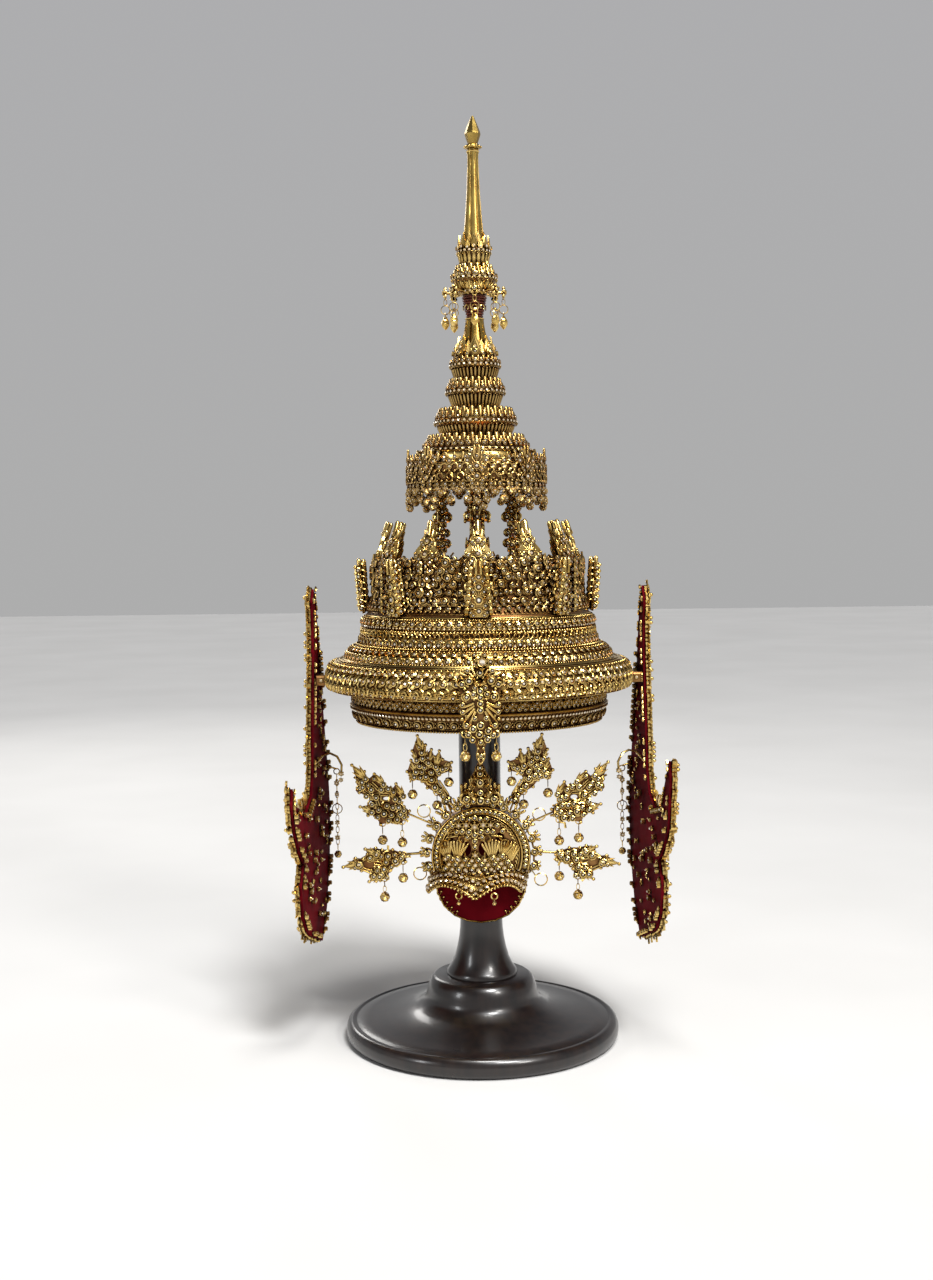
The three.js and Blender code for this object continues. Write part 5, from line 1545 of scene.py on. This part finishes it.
def band_pendant():
    """A long teardrop in rosettes, with a crest that leans back over the brim."""
    face = -118.2
    lower = cut_sheet("pendant_sheet", mirrored([
        (13.5, 280), (14, 268), (12.4, 259), (9.6, 250), (4.6, 245.4), (2.6, 240), (3.4, 235),
        (0, 229.6)]),
        1.2, DEEP_SHADE_GILT, (0.5, 0))
    set_at(lower, spot(0, face, 0))
    drill(lower, [(0, 261.2, 2.6, 1.8)])
    upper = cut_sheet("pendant_crest", mirrored([
        (13.5, 0), (17.6, 8), (12, 10), (9, 16.4), (5, 15), (0, 25)]), 1.2, DEEP_SHADE_GILT, (0.5, 0))
    drill(upper, [(0, 7.2, 2, 2.8)])
    tilt = spot(0, face, 279.4, 1, 0, 0.3)
    set_at(upper, tilt)
    high = [(ROSETTE, spot(1.5, -2, 19.4, 5.6)), (SETTING, spot(1.5, -2.8, 19.4, 2.6)),
            (SETTING, spot(0, -1.8, 12.6, 2.4))]
    for k in range(7):
        across, up = 2.6 * math.sin(0.9 * k), 7.2 + 3.4 * math.cos(0.9 * k)
        high.append((PEARL, spot(across, -1.8, up, 1.1)))
    high += both(
        (CURL, 7.6, -1.4, 6.6, (4.2, 3.4, 4.2), 0.3), (SETTING, 7.6, -2.2, 6.8, 2.7),
        (SETTING, 12.6, -1.6, 4.6, 2.4), (CURL, 13.6, -1.2, 6.4, (3, 2.8, 3), 0.9),
        (FINGER, 2.8, -1.6, 10.6, (2.2, 2, 4.4), 0.45), (FINGER, 4.8, -1.6, 10.4, (2.2, 2, 4.6), 0.80),
        (FINGER, 6.6, -1.6, 9.8, (2.2, 2, 4.6), 1.15), (FINGER, 4.4, -1.2, 15.4, (2.2, 2, 3.4), 0.25),
        (PEARL, 10.6, -1.6, 1.8, 1.4), (PEARL, 16.4, -1.2, 7.8, 1.3), (SETTING, 8.6, -1.6, 14.4, 1.9),
        (SETTING, 3.6, -1.8, 2.2, 1.9))
    front = face - 1.5
    places = moved(high, tilt)
    places += [(SETTING, spot(x, front - 0.5, z, size)) for x, z, size in (
        (0, 280.4, 2.4), (0, 276, 2.4), (0, 271.6, 2.4), (0, 267.2, 2.4), (0, 256.6, 2.8),
        (-5.2, 254.2, 2.6), (5.4, 252.8, 2.6), (-0.8, 250.4, 2.7), (4.8, 246.8, 2.4), (-8.4, 250.2, 2.3),
        (-5.6, 246.6, 2.3), (8.6, 249.6, 2.1), (0, 244.8, 2), (2.6, 249.4, 1.5))]
    for x, z, turn, tall in ((4.4, 272, 1.95, 4.4), (4.2, 270.4, 2.2, 5.4), (3.8, 268.4, 2.45, 6),
                             (3.2, 266.4, 2.7, 5.6)):
        places += both((FINGER, x, front - 0.2, z, (2.5, 2.2, tall), turn))
    places += both(
        (SETTING, 4.8, front, 278.2, 2.2), (CURL, 9.4, front + 0.2, 276.2, (3.8, 3, 3.8), 0.4),
        (SETTING, 9.4, front - 0.4, 276.2, 2.3), (SETTING, 12.4, front, 270.8, 1.9),
        (PEARL, 4.2, front, 274.8, 1.4), (SETTING, 12.2, front, 265.6, 1.8),
        (PEARL, 12.6, front, 261, 1.5), (CURL, 8.6, front, 258.2, (3, 2.6, 3), 2.4),
        (SETTING, 9.8, front - 0.2, 256.4, 2), (SETTING, 4, front - 0.3, 261.4, 1.9),
        (PEARL, 1.8, front, 240.6, 1.2), (PEARL, 2.2, front, 236.6, 1.3), (PEARL, 1.6, front, 233, 1.2))
    places.append((SETTING, spot(0, front, 235.2, 1.7)))
    rails = [wire("teardrop_wire", [(side * x, front + 0.4, z) for x, z in (
        (2.4, 244), (1.6, 241), (2.8, 236.6), (2.4, 233), (0, 229.6))], 1.3) for side in SIDES]
    for side in SIDES:
        places += hang(side * 10.8, front, 252.4, 21.4, 3.9)
    assemble("band_pendant_work", [lower, upper, *rails], places, "band_pendant")


# ---------------------------------------------------------------- ear wings
WING_SPREAD = 127       # from the middle to a wing's plate
WING_TOE = 0.1          # how far a wing's front edge is turned in, in radians
WING_EDGE = [(12, 71.5), (-36, 88.5), (-46, 95), (-57, 107), (-62, 130), (-52, 146), (-68, 159),
             (-82, 176)]
WING_FRONT = [(-60, 188), (-38, 183), (-20, 191), (-13, 206), (-9, 245), (-3, 290), (-2, 322), (-5, 338),
              (2, 348), (9, 336), (14, 318), (22, 280), (34, 240), (45, 205), (52, 170), (47, 130),
              (32, 94)]


def wing_outline(lobe):
    """Depth and height all round a wing; the lobe at its rear reaches up to the given height."""
    return [*WING_EDGE, (-89, lobe - 14), (-86, lobe), (-76, lobe - 14), *WING_FRONT]


def along(outline, pitch, inward):
    """Evenly spaced points just inside a closed outline, with the direction in which the edge runs."""
    points, left = [], 0
    for a, b in zip(outline, [*outline[1:], outline[0]]):
        step = Vector(b) - Vector(a)
        length = step.length
        way = step / length
        while left < length:
            at = Vector(a) + way * left + Vector((way.y, -way.x)) * inward
            points.append((at.x, at.y, math.atan2(way.x, way.y)))
            left += pitch
        left -= length
    return points


def spans(outline, height, margin):
    """Where a level line lies inside a closed outline, less a margin at both ends."""
    crossings = []
    for (x0, z0), (x1, z1) in zip(outline, [*outline[1:], outline[0]]):
        if (z0 - height) * (z1 - height) < 0:
            crossings.append(x0 + (x1 - x0) * (height - z0) / (z1 - z0))
    crossings.sort()
    pairs = zip(crossings[::2], crossings[1::2])
    return [(a + margin, b - margin) for a, b in pairs if b - a > 2.2 * margin]


def wing_border(side, outline):
    """Settings in curls all round a wing's outer face, with a few left out low down."""
    places = []
    for x, z, _ in along(outline, pitch=3.3, inward=1.3):
        size, off = random.uniform(1.9, 2.9), random.uniform(-1.2, 0.8)
        if z < 185 and random.random() < 0.22:
            continue
        places.append((SETTING, spot(side * (x + off), -0.8, z, (size, 3.8, size))))
        hand, spin = random.choice(SIDES), random.uniform(0, TAU)
        places.append((CURL[hand], spot(side * x, -1.8, z, (1.5 * size, 3.6, 1.5 * size), spin)))
        if random.random() < 0.3:
            places.append((PEARL, spot(side * x, -4.2, z, (1.7, 2, 1.7))))
    return places


def wing_leaves(side, outline):
    """Level rows of leaves on a wing's outer face, which spread from its middle, each with its stone."""
    places = []
    for index, height in enumerate(range(84, 336, 9)):
        for low, high in spans(outline, height, margin=7):
            count = max(1, round((high - low) / 9.5))
            middle = (low + high) / 2
            for i in range(count):
                x = low + (high - low) * ((i + 0.5) / count)
                turn = 0.75 * (x - middle) / max(high - low, 1) + 0.12 * (1 if i % 2 else -1)
                hand = side if x >= middle else -side
                stone = SETTING if (i + index) % 2 else ROSETTE
                places.append((LEAF[hand], spot(side * x, -1, height, (1.25, 3, 1.15), side * turn)))
                places.append((stone, spot(side * x, -3, height + 1.4, 2.3)))
    return places


def wing_lining(side, outline):
    """Petals along the edge of a wing's inner face, and scattered small ornaments inside them."""
    places, inwards = [], math.pi
    for x, z, way in along(outline, pitch=4.4, inward=2.8):
        if random.random() < (0.25 if z > 240 else 0.55):
            continue
        size = (2.2, 3.4, random.uniform(1.6, 2.8))
        places.append((PETAL, spot(side * x, 1.1, z, size, -side * way, 0, inwards)))
        if x > 15 or z < 190:
            places.append((SETTING, spot(side * (x - 1.5), 2, z, (1.5, 2.6, 1.8), 0, 0, inwards)))
    for height in range(92, 268, 5):
        for low, high in spans(outline, height, margin=12):
            for _ in range(1 if height > 190 else 2):
                x, share = random.uniform(low, high), random.uniform(1.3, 2.2)
                kind = random.choice((SETTING, CRESCENT, PETAL, ROSETTE))
                size, spin = (1.3 * share, 2.8, 1.1 * share), random.uniform(0, TAU)
                places.append((kind, spot(side * x, 1.6, height, size, spin, 0, inwards)))
    return places


def ear_wing(side, lobe):
    """A lacquered plate set on both faces, with its hook and a chain of rosettes on an arm."""
    outline = wing_outline(lobe)
    wing_place = spot(side * WING_SPREAD, 0, 0, face=side * (TAU / 4 + WING_TOE))
    back = cut_sheet("wing_sheet", [(side * x, z) for x, z in outline], 2.2, LACQUER, (0.5, 0))
    set_at(back, wing_place @ spot(0, 1.1, 0))
    places = wing_border(side, outline) + wing_leaves(side, outline) + wing_lining(side, outline)
    places = moved(places, wing_place)
    x, y, z = side * 114, 40, 203       # where the chain with its rosettes hangs
    arm = wire("chain_arm", [(side * 122.6, y, z), (side * 118, y, z + 1.4), (x, y, z)], 1.6)
    hook = wire("wing_hook", [(side * a, b, c) for a, b, c in (
        (126, -4, 214), (120, -8, 221), (114, -12, 223), (108.6, -15, 221), (105, -18, 215),
        (105.4, -18, 208))], 1.8)
    places += hang(x, y, z, 72, 3.2)
    places += [(ROSETTE, spot(x, y - 0.8, z - down, size)) for down, size in (
        (11, 2.4), (20, 2), (43, 2.2), (55, 2.4))]
    places += [(RING, spot(x, y, z - 32, (4, 4.5, 4))), (ROSETTE, spot(side * 105.4, -18.6, 208.4, 2.4)),
               (ROSETTE, spot(side * 105.6, -18.6, 203.6, 2))]
    node = f"ear_wing_{SIDE_WORD[side]}"
    assemble(f"{node}_work", [back, arm, hook], places, node)


def wing_bracket(side):
    """A plain block between a wing and the brim, with one set stone."""
    let_go()
    height = 278
    bpy.ops.mesh.primitive_cube_add(size=MM, location=(side * 121.05 * MM, 0, height * MM))
    bracket = paint(bpy.context.object, DEEP_SHADE_GILT)
    bracket.scale = (8.2, 6, 8)
    settle()
    edit("FACE")
    bpy.ops.mesh.bevel(offset=0.8 * MM, segments=2)
    pick(lambda centre, normal: normal.y < -0.9 and abs(centre.z - height) < 1)
    inset(1, 0.5)
    put_down()
    node = f"wing_bracket_{SIDE_WORD[side]}"
    assemble(f"{node}_work", [bracket], [(STONE6, spot(side * 121, -3.4, height, 1.5))], node)


nape_plate()
nape_disc()
nape_hood()
nape_crest()
for word in SPRAYS:
    for side in SIDES:
        spray(side, word)
band_pendant()
for side, lobe in zip(SIDES, (208, 225)):
    ear_wing(side, lobe)
    wing_bracket(side)
for build in (head_band, flared_brim, crown_steps, crown_deck, coronet_wall, coronet_ornaments,
              spire_legs, spire_collar, collar_fringe, spire_cups, lotus_bell, canopy, upper_tiers):
    build()


# ---------------------------------------------------------------- floor, light and camera
FLOOR_SIZE = 14000
FLOOR_DROP = 0.4        # the floor lies this far under the foot
EYE = (-9, -1149, 384)
LOOKS_DOWN = 3.8        # degrees
LEANS = -0.68           # degrees
AIM = (0, 0, 360)       # where the lamps point


def stage():
    """A pale plain floor."""
    let_go()
    bpy.ops.mesh.primitive_plane_add(size=FLOOR_SIZE * MM, location=(0, 0, -FLOOR_DROP * MM))
    floor = paint(bpy.context.object, studio_floor())
    floor.name = "floor"
    edit("EDGE")
    bpy.ops.mesh.subdivide(number_cuts=3)
    put_down()


def softbox(name, location, size, power, color):
    """A rectangular lamp that points at the crown. Its place and size are in metres."""
    light = bpy.data.lights.new(name, "AREA")
    light.shape, light.size, light.energy, light.color = "RECTANGLE", size[0], power, color
    light.size_y = size[1]
    lamp = bpy.data.objects.new(name, light)
    lamp.location = location
    lamp.rotation_euler = (Vector(AIM) * MM - Vector(location)).to_track_quat("-Z", "Y").to_euler()
    bpy.context.scene.collection.objects.link(lamp)


def lighting():
    """Four lamps and a soft sun, in a room that is pale below and dark above."""
    world = bpy.data.worlds.new("studio")
    world.use_nodes = True
    background = world.node_tree.nodes["Background"]
    place = add_node(background, "TexCoord", {})
    split = add_node(background, "SeparateXYZ", {"Vector": place.outputs["Generated"]})
    sky = ramp(background, split.outputs["Z"], (0, (0.42, 0.42, 0.42)), (0.36, (0.42, 0.42, 0.43)),
               (0.58, (0.08, 0.08, 0.09)), (1, (0.03, 0.03, 0.04)))
    feed(background, {"Color": sky})
    bpy.context.scene.world = world
    softbox("key_light", (1.3, -1.7, 1.7), (0.4, 0.4), 22, (1, 0.97, 0.93))
    softbox("fill_light", (-1.7, -1.3, 0.9), (0.3, 0.6), 8, (0.96, 0.98, 1))
    softbox("top_light", (0.15, -0.5, 2.2), (0.5, 0.5), 30, (1, 0.99, 0.97))
    softbox("rim_light", (-0.9, 1.7, 1.2), (0.5, 0.8), 9, (1, 0.98, 0.95))
    day = bpy.data.lights.new("day_light", "SUN")
    day.energy, day.angle = 3, math.radians(14)
    lamp = bpy.data.objects.new("day_light", day)
    lamp.rotation_euler = (math.radians(34), 0, math.radians(28))
    bpy.context.scene.collection.objects.link(lamp)


def camera():
    """The view from the nape side, a little from above."""
    view = bpy.data.cameras.new("camera")
    view.sensor_fit = "VERTICAL"
    view.sensor_height = 36
    view.lens = 42.19
    view.clip_start = 0.02
    eye = bpy.data.objects.new("camera", view)
    pitch, roll = math.radians(90 - LOOKS_DOWN), math.radians(LEANS)
    turn = Matrix.Rotation(pitch, 4, "X") @ Matrix.Rotation(roll, 4, "Z")
    eye.matrix_world = Matrix.Translation(Vector(EYE) * MM) @ turn
    bpy.context.scene.collection.objects.link(eye)
    bpy.context.scene.camera = eye
    bpy.context.scene.view_settings.view_transform = "Standard"


stage()
lighting()
camera()

for spare in MASTERS:
    bpy.data.objects.remove(spare)
